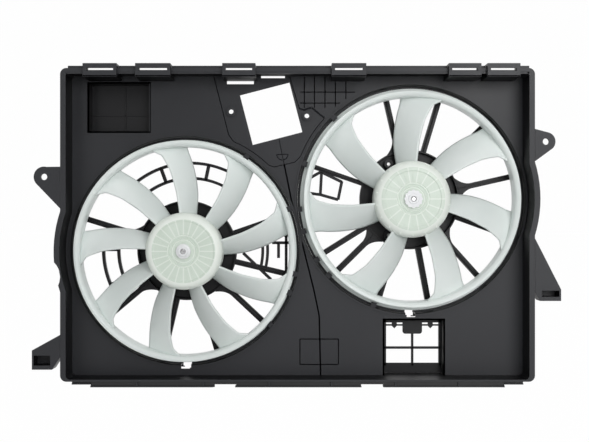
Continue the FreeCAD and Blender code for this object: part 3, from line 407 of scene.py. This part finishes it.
finishes = {
    "shroud_plastic": shroudPlastic(),
    "fan_plastic": fanPlastic("fanPlastic"),
    "nut_plastic": plain("nutPlastic", (0.90, 0.91, 0.92), (0.80, 0.81, 0.83), 0.3),
    "shaft_steel": plain("shaftSteel", (0.62, 0.62, 0.63), (0.5, 0.5, 0.51), 0.28, 1, 300, 0.15, (1, 8, 1)),
    "motor_steel": plain("motorSteel", (0.035, 0.036, 0.04), (0.055, 0.056, 0.06), 0.38, 0.2, 80),
    "screw_steel": plain("screwSteel", (0.55, 0.55, 0.54), (0.42, 0.42, 0.42), 0.34, 1, 200),
    "cap_plastic": plain("capPlastic", (0.026, 0.026, 0.028), (0.038, 0.038, 0.042), 0.5, 0, 90),
    "bearing_steel": plain("bearingSteel", (0.7, 0.7, 0.72), (0.6, 0.6, 0.62), 0.16, 1, 100, 0.1),
    "lamination_steel": plain("laminationSteel", (0.42, 0.42, 0.43), (0.28, 0.28, 0.29), 0.4, 1, 40, 0.2,
                              (1, 60, 1)),
    "copper_wire": plain("copperWire", (0.48, 0.17, 0.05), (0.33, 0.10, 0.03), 0.3, 0.4, 200, 0.2,
                         (1, 12, 1)),
    "copper_bar": plain("copperBar", (0.74, 0.42, 0.24), (0.58, 0.3, 0.16), 0.3, 1, 120),
    "ferrite": plain("ferriteBlock", (0.07, 0.07, 0.075), (0.045, 0.045, 0.05), 0.6, 0, 120),
    "carbon": plain("carbonBlock", (0.045, 0.045, 0.048), (0.07, 0.068, 0.066), 0.55, 0, 300),
}
for subpart in frame["record"]["subparts"]:
    data = nodes[subpart["node"]].data
    data.materials.clear()
    data.materials.append(finishes[subpart["material_slot"]])
channelFinish = plain("channelPlastic", (0.007, 0.007, 0.008), (0.012, 0.012, 0.014), 0.5, 0, 60)
nodes["bottom_flange"].data.materials[0] = channelFinish  # in the shade of the ribs and lip in front of it
print("finishes are on", len(nodes), "nodes")


# measures that every piece takes from the frame, in millimetres
box = {node: [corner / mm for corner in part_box(node)] for node in nodes}
flangeInset = 16.5  # from the end of the bottom flange to the side of the rim
halfWide = box["bottom_flange"][1].x + flangeInset
halfTall = box["shroud_tray"][1].z
floorThick = 3
floorFront = round(box["shroud_tray"][1].y - floorThick, 3)
axes = {side: ((box[f"{side}_fan_hub"][0].x + box[f"{side}_fan_hub"][1].x) / 2,
               (box[f"{side}_fan_hub"][0].z + box[f"{side}_fan_hub"][1].z) / 2) for side in ("left", "right")}
plastic = finishes["shroud_plastic"]

shroud = {
    "wall": 2.5, "rim": 6.5, "past": 6, "lip": {"aside": 8, "low": 8.4, "high": 5.5, "deep": 3},
    "panel": {"fromSide": 33, "fromTop": 16.8, "wide": 90, "tall": 71.4, "deep": 27, "ribX": 50.5,
              "ribDown": 45.5, "ribHalf": 0.8, "ribDeep": 1.6},
    "recess": {"fromSide": 126.5, "wide": 88.5, "under": 180.8, "deep": 24, "floor": 3},
    # its outline in order: points as x and distance under the top, and an arc about each fan axis
    "plate": {"edge": ((-124.8, 6.5), (-102.7, 93.3)), "leftArc": (179, 66.3, 45.9),
              "tongue": ((-34.8, 141.2), (-4, 134.1)), "rightArc": (177.7, 158.7, 137),
              "notch": ((21, 53.3), (9.5, 56.9), (2.6, 54.5), (-12, 6.5)),
              "sink": 1.6, "line": 2, "step": 4.4, "lineDeep": 2.3, "stepDeep": 2.7},
    "waffle": {"columns": (10.3, 25.4, 41.2, 56.8, 72.5), "rows": (29.5, 46), "left": 4, "right": 86,
               "low": 53, "reach": 179, "line": 1.8},
    "bead": {"centre": (-22.5, 122.6), "radius": 8.4, "line": 2, "deep": 1.2},
    "spine": {"points": ((-28.3, 131.9), (-9, 37), (24.6, -97.6), (32.6, -136.5)), "endX": 34.7, "line": 2.6},
    "rectangle": {"left": 3.8, "right": 61.3, "top": -171, "low": -209},
    "slots": ((-105.5, -65.3, 17.4, 11), (-54.4, -18.8, 8.4, 5.3)),
    "drains": {"left": (-172, -159, -214, -204), "right": (161.5, 173.3, -135, -124)},
    "bite": {"aside": 29, "down": 36.5, "radius": 29, "deep": 3.4},
}


def panelBox():
    panel = shroud["panel"]
    left, top = -halfWide + panel["fromSide"], halfTall - panel["fromTop"]
    return left, left + panel["wide"], top - panel["tall"], top


def recessBox():
    recess = shroud["recess"]
    right = halfWide - recess["fromSide"]
    return right - recess["wide"], right, -halfTall + recess["floor"], axes["right"][1] - recess["under"]


def fromTop(points):
    return [(x, halfTall - drop) for x, drop in points]


def plateOutline():
    # the shallow plate round the control-module window, which follows both barrels
    plate = shroud["plate"]
    return (fromTop(plate["edge"]) + arc(axes["left"], *plate["leftArc"], 8) + fromTop(plate["tongue"])
            + arc(axes["right"], *plate["rightArc"], 8) + fromTop(plate["notch"]))


def tub(mesh, xLow, xHigh, zLow, zHigh, back, bottom=True):
    # walls, and a bottom, of a box-shaped recess behind the floor
    thick = shroud["wall"]
    brick(mesh, xLow - thick, xLow, zLow - thick, zHigh + thick, floorFront, back)
    brick(mesh, xHigh, xHigh + thick, zLow - thick, zHigh + thick, floorFront, back)
    brick(mesh, xLow, xHigh, zHigh, zHigh + thick, floorFront, back)
    if bottom:
        brick(mesh, xLow, xHigh, zLow - thick, zLow, floorFront, back)
        brick(mesh, xLow - thick, xHigh + thick, zLow - thick, zHigh + thick, back, back + thick)


def cutOpenings(mesh):
    past = floorFront + shroud["past"]
    cutter = bmesh.new()
    brick(cutter, *panelBox(), floorFront - 1, past)
    left, right, low, high = recessBox()
    brick(cutter, left, right, low + 0.2, high, floorFront - 1, past)
    slab(cutter, plateOutline(), floorFront - 2, floorFront + shroud["plate"]["sink"])
    for left, right, low, high in shroud["slots"]:
        brick(cutter, left, right, halfTall - low, halfTall - high, floorFront - 2, past)
    for drain in shroud["drains"].values():
        brick(cutter, *drain, floorFront - 3, past)
    bite = shroud["bite"]
    middle = (-halfWide - bite["aside"], axes["left"][1] - bite["down"])
    slab(cutter, arc(middle, bite["radius"], 0, 345, 40), -2, bite["deep"])
    return carved(mesh, cutter)


def cutLines(mesh):
    # the edge of the plate, the waffle, the D-shaped bead, the spine and the empty rectangle
    plate, waffle, bead, spine = shroud["plate"], shroud["waffle"], shroud["bead"], shroud["spine"]
    cutter, outline, line = bmesh.new(), plateOutline(), waffle["line"]
    groove(cutter, outline[:-4], plate["line"], floorFront, plate["lineDeep"])
    groove(cutter, outline[-5:-1], plate["step"], floorFront, plate["stepDeep"])
    groove(cutter, outline[-2:], plate["line"], floorFront, plate["lineDeep"])
    reach, top = waffle["reach"], halfTall - shroud["rim"]
    for x in waffle["columns"]:  # down to the ring of floor round the right barrel
        low = axes["right"][1] + math.sqrt(max(reach ** 2 - (x - axes["right"][0]) ** 2, 0))
        groove(cutter, [(x, max(low, halfTall - waffle["low"])), (x, top)], line, floorFront, line)
    for drop in waffle["rows"]:
        z = halfTall - drop
        right = axes["right"][0] - math.sqrt(reach ** 2 - (z - axes["right"][1]) ** 2)
        groove(cutter, [(waffle["left"], z), (min(right, waffle["right"]), z)], line, floorFront, line)
    middle = fromTop([bead["centre"]])[0]
    loop = arc(middle, bead["radius"], 180, 360, 12) + [(middle[0] - bead["radius"], middle[1])]
    groove(cutter, loop, bead["line"], floorFront + plate["sink"], bead["deep"])
    run = spine["points"] + ((spine["endX"], -halfTall + shroud["recess"]["floor"]),)
    groove(cutter, run, spine["line"], floorFront, spine["line"])
    left, right, top, low = shroud["rectangle"].values()
    corners = [(left, top), (right, top), (right, low), (left, low), (left, top)]
    groove(cutter, corners, line, floorFront, line)
    return carved(mesh, cutter)


def makeShroud():
    shell = cutLines(cutOpenings(copied("shroud_tray")))
    panel = shroud["panel"]
    left, right, low, high = panelBox()
    back = floorFront + panel["deep"]
    tub(shell, left, right, low, high, back)
    ribX, ribZ, half = left + panel["ribX"], high - panel["ribDown"], panel["ribHalf"]
    brick(shell, ribX - half, ribX + half, low, high, back - panel["ribDeep"], back + 0.5)
    brick(shell, left, right, ribZ - half, ribZ + half, back - panel["ribDeep"], back + 0.5)
    left, right, low, high = recessBox()
    back = floorFront + shroud["recess"]["deep"]
    tub(shell, left, right, low, high, back, False)
    brick(shell, left, right, -halfTall, low + 0.1, floorFront, back)
    lip = shroud["lip"]
    reach = halfWide - lip["aside"]
    brick(shell, -reach, reach, halfTall - lip["low"], halfTall - lip["high"], 0, lip["deep"])
    return finishPiece("shroud_shell", closed(shell), plastic, "frame", ("shroud_tray",))


makeShroud()
print("shroud is made")

trim = {
    # from the left side of the rim, width
    "loops": ((34, 49), (110, 51), (236, 48), (394.5, 50), (564, 47), (620, 47.4)),
    "foot": 13.5, "thick": 2.4, "proud": 7, "under": 6.2, "cheekFront": 3,
    "strip": {"aside": (9, 6), "low": 2, "tall": 4.4, "front": 8, "back": 11},
    "ribs": (-233.8, -137.3, -41.4, 49.3, 143, 234.6), "ribHalf": 1.1, "ribFront": 1.5,
    "ledge": {"aside": 43.5, "drop": 8.3, "thick": 1.6, "front": 1, "back": 18,
              "notches": (-122.8, -90.8, 93.1, 125)},
    "ends": {"wide": 27, "low": 4.3, "high": 2.5},
}


def makeRimTrim():
    # troughs under the clip loops, the set-back strip above the rim and the channel below it
    thick, foot = trim["thick"], halfTall - trim["foot"]
    strip, ledge, ends = trim["strip"], trim["ledge"], trim["ends"]
    mesh = bmesh.new()
    back, stops = floorFront - 0.2, [-halfWide + strip["aside"][0]]
    for start, wide in trim["loops"]:
        low, high = start - halfWide, start - halfWide + wide
        stops += [low, high]
        brick(mesh, low, high, foot, foot + thick, -trim["proud"], back)
        for x in (low, high - thick):
            brick(mesh, x, x + thick, foot + thick, halfTall - trim["under"], trim["cheekFront"], back)
    stops.append(halfWide - strip["aside"][1])
    for low, high in zip(stops[::2], stops[1::2]):
        brick(mesh, low + 0.5, high - 0.5, halfTall - strip["low"], halfTall + strip["tall"], strip["front"],
              strip["back"])
    bottom, front, back = -halfTall - ledge["drop"], ledge["front"], ledge["back"]
    for x in trim["ribs"]:
        brick(mesh, x - trim["ribHalf"], x + trim["ribHalf"], bottom, -halfTall, trim["ribFront"], back)
    reach = halfWide - ledge["aside"]
    runs = (-reach,) + ledge["notches"] + (reach,)
    for low, high in zip(runs[::2], runs[1::2]):
        brick(mesh, low, high, bottom, bottom + ledge["thick"], front, back)
    for low in (-reach - ends["wide"], reach):
        brick(mesh, low, low + ends["wide"], -halfTall - ends["low"], -halfTall - ends["high"], front, back)
    return finishPiece("rim_trim", closed(mesh), plastic, "frame", bevel=0.3)


makeRimTrim()


def makeBarrel(side):
    # the duct, its drain cut through the mouth, and the lip behind the rotor ring that seals the gap
    duct = {"bore": 165.6, "outer": 169.9, "front": 56, "back": 58.6, "below": 8, "above": 6, "cut": (40, 84)}
    left, right, low, high = shroud["drains"][side]
    cutter = bmesh.new()
    brick(cutter, left, right, low - duct["below"], high + duct["above"], *duct["cut"])
    bore, outer, front, back = duct["bore"], duct["outer"], duct["front"], duct["back"]
    lip = [(bore, front), (outer, front), (outer, back), (bore, back)]
    mesh = lathe(lip, axes[side], 128, copied(f"{side}_barrel"))
    mesh = carved(closed(mesh), cutter)
    return finishPiece(f"{side}_duct", closed(mesh), plastic, "frame", (f"{side}_barrel",))


cradle = {
    "bore": 50, "inner": 52.5, "outer": 73, "rim": 75.5, "web": 3, "root": 74, "end": 169.6, "strutBehind": 4,
    "keel": {"wide": 1.8, "deep": 5}, "flare": {"half": 17, "long": 24, "power": 2.2, "behind": 3},
    "boss": {"at": 62.5, "radius": 5, "wide": 4, "short": 2}, "guide": {"wide": 4.4, "front": 3, "back": 3},
    # angle, width, width at the barrel, flared root
    "struts": {
        "left": ((162.7, 8.4, 8.4, 1), (220, 8.4, 8.4, 1), (257.7, 9, 6, 0), (286.6, 8.4, 8.4, 0),
                 (-43.2, 8.4, 8.4, 1), (-13.4, 8.4, 8.4, 0), (20, 9, 6, 0)),
        "right": ((103, 8.4, 8.4, 1), (73.3, 8.4, 8.4, 0), (44.7, 8.4, 8.4, 0), (12.8, 8.4, 8.4, 1),
                  (-20, 8.4, 8.4, 0), (-48, 8.4, 8.4, 1), (-79.4, 9, 9, 0), (-107, 8.4, 8.4, 0),
                  (-135.3, 9, 9, 1), (212, 8.4, 8.4, 0), (160.9, 7, 7, 0)),
    },
    # straight cable guides, each from one point to another, measured from the fan axis
    "rails": {
        "left": ((84.9, -4, 127.3, -44.4), (129, 11.5, 168, 11.5), (140.8, 23, 167, 23),
                 (138.8, 11.5, 138.8, -11.7), (150.4, 23, 150.4, -35.5)),
        "right": ((-167, 24, -133.2, 43), (-133.2, 42, -102.3, 27), (-102.3, 28, -108.1, 0),
                  (-108.1, 0, -135.1, 7.7), (-135.1, 7.7, -168, 12), (-133.2, 42, -135.1, 7.7)),
    },
    # curved cable guides of the left motor: radius and angles of each, then angle and width of each rung
    "bends": ((132.7, 60, 135), (132.7, 170, 204), (109.6, 60, 135), (109.6, 170, 204), (109.6, -13, 6),
              (117, -13, 6)),
    "rungs": ((61, 4.4), (78, 5), (110, 5), (134, 4.4), (171, 4.4), (180, 2.6), (203, 4.4)),
    "rungEnds": (109, 133), "bendAside": 5.2,
}


def addStrut(mesh, side, front, rear, angle, wide, endWide, flared):
    # a strut with a keel along its front and, where it is flared, a root that widens to the ring
    start, end = (fromCentre(axes[side], cradle[name], angle) for name in ("root", "end"))
    bar(mesh, start, end, wide, front + cradle["strutBehind"], rear, endWide)
    bar(mesh, start, end, cradle["keel"]["wide"], front, front + cradle["keel"]["deep"])
    if not flared:
        return
    flare, half, steps = cradle["flare"], wide / 2 - 0.2, 8
    spread = flare["half"] - half
    curve = [(cradle["root"] + flare["long"] * step / steps,
              half + spread * (1 - step / steps) ** flare["power"]) for step in range(steps + 1)]
    turn = math.radians(angle)
    along, across = Vector((math.cos(turn), math.sin(turn))), Vector((-math.sin(turn), math.cos(turn)))
    spots = [Vector(axes[side]) + along * a + across * b
             for a, b in [(a, -b) for a, b in curve] + curve[::-1]]
    slab(mesh, spots, front + flare["behind"], rear)


def makeCradle(side):
    low, high = box[f"{side}_motor_cradle"]
    front, rear, centre = low.y, high.y, axes[side]
    bore, inner, outer, rim = (cradle[name] for name in ("bore", "inner", "outer", "rim"))
    web = rear - cradle["web"]
    mesh = lathe([(bore, front), (inner, front), (inner, web), (outer, web), (outer, front), (rim, front),
                  (rim, rear), (bore, rear)], centre, 96)
    for strut in cradle["struts"][side]:
        addStrut(mesh, side, front, rear, *strut)
    guide = cradle["guide"]
    depths = front + guide["front"], rear - guide["back"]
    for x, z, toX, toZ in cradle["rails"][side]:
        bar(mesh, (centre[0] + x, centre[1] + z), (centre[0] + toX, centre[1] + toZ), guide["wide"], *depths)
    if side == "left":
        middle = (centre[0] + cradle["bendAside"], centre[1])
        for radius, start, end in cradle["bends"]:
            band(mesh, middle, radius, guide["wide"], start, end, *depths)
        for angle, wide in cradle["rungs"]:
            start, end = (fromCentre(middle, radius, angle) for radius in cradle["rungEnds"])
            bar(mesh, start, end, wide, *depths)
    boss = cradle["boss"]
    for angle in (0, 120, 240):
        spot = fromCentre(centre, boss["at"], angle)
        band(mesh, spot, boss["radius"], boss["wide"], 0, 360, front, rear - boss["short"], 20)
    return finishPiece(f"{side}_cradle_form", closed(mesh), plastic, "frame",
                       (f"{side}_motor_cradle",), bevel=0.4)


def makeGrille():
    # the snap-in window sits at the back of its recess
    grid = {"inFront": 3, "thick": 4, "frame": 4.4, "barHalf": 1.8, "foot": 11, "row": 42.5, "side": 0.2,
            "top": 1.2, "snapFront": 0.4, "snapBack": 0.6, "rail": {"under": 2.5, "tall": 2.4},
            "latch": {"half": 14.8, "round": 4, "under": 17},
            "lug": {"at": 27.3, "half": 3.8, "tall": 2.5, "point": 6.5}}
    rail, latch, lug = grid["rail"], grid["latch"], grid["lug"]
    front = floorFront + shroud["recess"]["deep"] - grid["inFront"]
    back = front + grid["thick"]
    left, right, low, high = recessBox()
    left, right = left + grid["side"], right - grid["side"]
    high, base = high - grid["top"], low + grid["foot"]
    middle, row, edge, half = (left + right) / 2, high - grid["row"], grid["frame"], grid["barHalf"]
    mesh = bmesh.new()
    for xLow, xHigh in ((left, left + edge), (middle - half, middle + half), (right - edge, right)):
        brick(mesh, xLow, xHigh, base, high, front, back)
    for zLow, zHigh in ((low + 0.4, base + edge), (row - half, row + half), (high - edge, high)):
        brick(mesh, left, right, zLow, zHigh, front, back)
    shelf = high - edge - rail["under"]
    brick(mesh, left + 1, right - 1, shelf - rail["tall"], shelf, front - 0.2, back - 1)
    foot, bend = high - edge - latch["under"], latch["round"]
    snap = front - grid["snapFront"], back - grid["snapBack"]
    slab(mesh, [(middle - latch["half"], high - 1)]
         + arc((middle - latch["half"] + bend, foot + bend), bend, 180, 270, 6)
         + arc((middle + latch["half"] - bend, foot + bend), bend, 270, 360, 6)
         + [(middle + latch["half"], high - 1)], *snap)
    for sign in (-1, 1):
        x, wide, tall = middle + sign * lug["at"], lug["half"], shelf - lug["tall"]
        slab(mesh, [(x - wide, high - 2), (x - wide, tall), (x, shelf - lug["point"]), (x + wide, tall),
                    (x + wide, high - 2)], *snap)
    return finishPiece("grille_form", closed(mesh), plastic, "frame", ("grille_insert",),
                       bevel=0.35)


for side in axes:
    makeBarrel(side)
    makeCradle(side)
makeGrille()
print("ducts, cradles and grille are made")

rotors = {
    "left": {"blades": 9, "sense": 1, "wider": 1.0, "round": 11, "bore": 155, "lip": 164, "ribs": 24},
    "right": {"blades": 7, "sense": -1, "wider": 1.25, "round": 14, "bore": 152, "lip": 160.8, "ribs": 18},
}
# share of the span, leading and trailing angle in degrees, their depths behind the ring's front in mm
bladeRun = ((0.0, 16.5, -5.5, 0, 33), (0.33, 17.4, -1.2, 1, 31), (0.66, 20.0, 4.2, 3, 29),
            (0.9, 23.4, 8.2, 5, 26), (1.0, 28.0, 9.4, 6, 25))


def alongBlade(share):
    for low, high in zip(bladeRun, bladeRun[1:]):
        if share <= high[0] + 1e-9:
            passed = (share - low[0]) / (high[0] - low[0])
            return [a + (b - a) * passed for a, b in zip(low[1:], high[1:])]
    return bladeRun[-1][1:]


def makeBlades(side, rotor, rim, front):
    blade = {"wide": 16, "long": 32, "thick": 2.6, "bow": 2.2, "sunk": 1.5, "tipSunk": 0.8}
    root, tip = rim - blade["sunk"], rotor["bore"] + blade["tipSunk"]
    mesh = bmesh.new()
    for turn in range(rotor["blades"]):
        sheet = bmesh.ops.create_grid(mesh, x_segments=blade["long"], y_segments=blade["wide"], size=0.5)
        for vert in sheet["verts"]:
            share, across = vert.co.x + 0.5, vert.co.y + 0.5
            lead, trail, shallow, deep = alongBlade(share)
            middle, half = (lead + trail) / 2, (lead - trail) / 2 * rotor["wider"]
            angle = rotor["sense"] * (middle + half - across * 2 * half + turn * 360 / rotor["blades"])
            x, z = fromCentre(axes[side], root + share * (tip - root), angle)
            depth = front + shallow + across * (deep - shallow) - blade["bow"] * math.sin(math.pi * across)
            vert.co = (x * mm, depth * mm, z * mm)
    blades = finishPiece(f"{side}_smooth_blades", closed(mesh), finishes["fan_plastic"], f"{side}_rotor",
                         (f"{side}_fan_blades",), 180)
    skin = blades.modifiers.new("thickness", "SOLIDIFY")
    skin.thickness, skin.offset = blade["thick"] * mm, 0


def makeHub(side, rotor, rim, front, rear):
    # a cup with a rounded shoulder, rings pressed in its face and fine ribs from the rings to the shoulder
    hub = {"bore": 4.3, "seat": 12.6, "seatEnd": 13.2, "wall": 3, "face": 3.5, "dish": 0.9, "groove": 0.7,
           "ringHalf": 0.9, "grooveHalf": 0.5, "rings": (0.30, 0.36, 0.42), "boss": 12, "bossLong": 20,
           "ribFrom": 0.43, "rib": 1.0, "ribEnd": 1.3, "web": 1.2, "webFrom": 11, "webDeep": 13}
    bend, dish, bore, boss = rotor["round"], hub["dish"], hub["bore"], hub["boss"]
    shoulder = arc((rim - bend, front + bend), bend, -90, 0, 9)
    rings = []
    for share in hub["rings"]:
        radius, wide, narrow = rim * share, hub["ringHalf"], hub["grooveHalf"]
        top, deep = front + dish, front + dish + hub["groove"]
        rings += [(radius - wide, top), (radius - narrow, deep)]
        rings += [(radius + narrow, deep), (radius + wide, top)]
    face, inside = front + hub["face"], rim - hub["wall"]
    seat = front + 0.2
    profile = ([(bore, seat), (hub["seat"], seat), (hub["seatEnd"], front + dish)] + rings
               + [(rim - bend - 2.2, front + dish), (rim - bend - 1, front)] + shoulder
               + [(rim, rear), (inside, rear), (inside, face + bend * 0.7), (rim - bend, face),
                  (boss, face + 0.6), (boss, front + hub["bossLong"]), (bore, front + hub["bossLong"])])
    mesh = lathe(profile, axes[side], 120)
    for count in range(rotor["ribs"]):
        angle = (count + 0.5) * 360 / rotor["ribs"]
        start, end, webStart, webEnd = (fromCentre(axes[side], radius, angle) for radius in (
            rim * hub["ribFrom"], rim - bend - 0.5, hub["webFrom"], rim - 2))
        bar(mesh, start, end, hub["rib"], front + 0.1, front + 2, hub["ribEnd"])
        bar(mesh, webStart, webEnd, hub["web"], face, front + hub["webDeep"])
    # the hub's finish, with painted light on its ribs, rings and shoulder
    glow = fanPlastic(f"{side}HubPlastic", [middle * mm for middle in axes[side]], rotor["ribs"], rim * mm)
    return finishPiece(f"{side}_hub_form", closed(mesh), glow, f"{side}_rotor",
                       (f"{side}_fan_hub",), 28)


def makeRing(side, rotor, front, rear):
    # a band with a rolled front, a turned-back lip and a low flange at its rear
    ring = {"roll": 7, "inner": 5, "wall": 2.3, "behind": 2.2, "lipDeep": 6, "lipThick": 2, "flange": 166.2,
            "flangeThick": 2}
    bore, lip, roll, inner = rotor["bore"], rotor["lip"], ring["roll"], ring["inner"]
    outer, behind = bore + ring["wall"], front + ring["behind"]

    profile = (arc((bore + roll, front + roll), roll, 180, 270, 6)
               + [(lip - 0.6, front), (lip, front + 0.7), (lip, front + ring["lipDeep"]),
                  (lip - ring["lipThick"], front + ring["lipDeep"]), (lip - ring["lipThick"], behind)]
               + arc((outer + inner, behind + inner), inner, 270, 180, 6)
               + [(outer, rear - ring["flangeThick"]), (ring["flange"], rear - ring["flangeThick"]),
                  (ring["flange"], rear), (bore, rear)])
    return finishPiece(f"{side}_ring_form", closed(lathe(profile, axes[side], 160)), finishes["fan_plastic"],
                       f"{side}_rotor", (f"{side}_fan_ring",), 40)


nut = {
    "bore": 4.2,
    # radius and depth behind the nut's front, up to its flange
    "steps": {"left": ((6.9, 0), (7.6, 0.8), (7.6, 2.2), (9.6, 2.6), (10.6, 3.2), (11, 4.2)),
              "right": ((7, 0), (7.8, 0.8))},
    "lobes": 12, "lobed": 13, "lobeTall": 0.055, "flange": 4,
    "rings": ((7.8, 3), (9.4, 3), (9.4, 4.6), (10.4, 4.6), (10.4, 0.5)),  # radius and depth before the hub
}


def makeNut(side):
    low, high = box[f"{side}_hub_nut"]
    front, back, bore = low.y, high.y, nut["bore"]
    mesh = bmesh.new()
    steps = [(radius, front + deep) for radius, deep in nut["steps"][side]]
    if side == "left":
        profile = [(bore, front)] + steps + [(nut["steps"][side][-1][0], back), (bore, back)]
    else:
        ring = bmesh.ops.create_circle(mesh, segments=144, radius=nut["lobed"] * mm)["verts"]
        for vert in ring:
            vert.co *= 1 + nut["lobeTall"] * math.cos(nut["lobes"] * math.atan2(vert.co.y, vert.co.x))
            vert.co = Vector((vert.co.x, 0, vert.co.y))
        bmesh.ops.create_circle(mesh, segments=144, radius=bore * mm,
                                matrix=Matrix.Rotation(math.pi / 2, 4, "X"))
        bmesh.ops.bridge_loops(mesh, edges=mesh.edges[:])
        grown = bmesh.ops.extrude_face_region(mesh, geom=mesh.faces[:])
        moved = [each for each in grown["geom"] if isinstance(each, bmesh.types.BMVert)]
        bmesh.ops.translate(mesh, verts=moved, vec=(0, nut["flange"] * mm, 0))
        bmesh.ops.translate(mesh, verts=mesh.verts,
                            vec=(axes[side][0] * mm, (back - nut["flange"]) * mm, axes[side][1] * mm))
        rings = [(radius, back - before) for radius, before in nut["rings"]]
        profile = [(bore, front)] + steps + rings + [(bore, rings[-1][1])]
    lathe(profile, axes[side], 72, mesh)
    return finishPiece(f"{side}_nut_form", closed(mesh), finishes["nut_plastic"], f"{side}_rotor",
                       (f"{side}_hub_nut",), 30)


for side, rotor in rotors.items():
    hubLow, hubHigh = box[f"{side}_fan_hub"]
    ringLow, ringHigh = box[f"{side}_fan_ring"]
    rim = (hubHigh.x - hubLow.x) / 2
    makeBlades(side, rotor, rim, ringLow.y)
    makeHub(side, rotor, rim, hubLow.y, hubHigh.y)
    makeRing(side, rotor, ringLow.y, ringHigh.y)
    makeNut(side)
print("rotors are made")
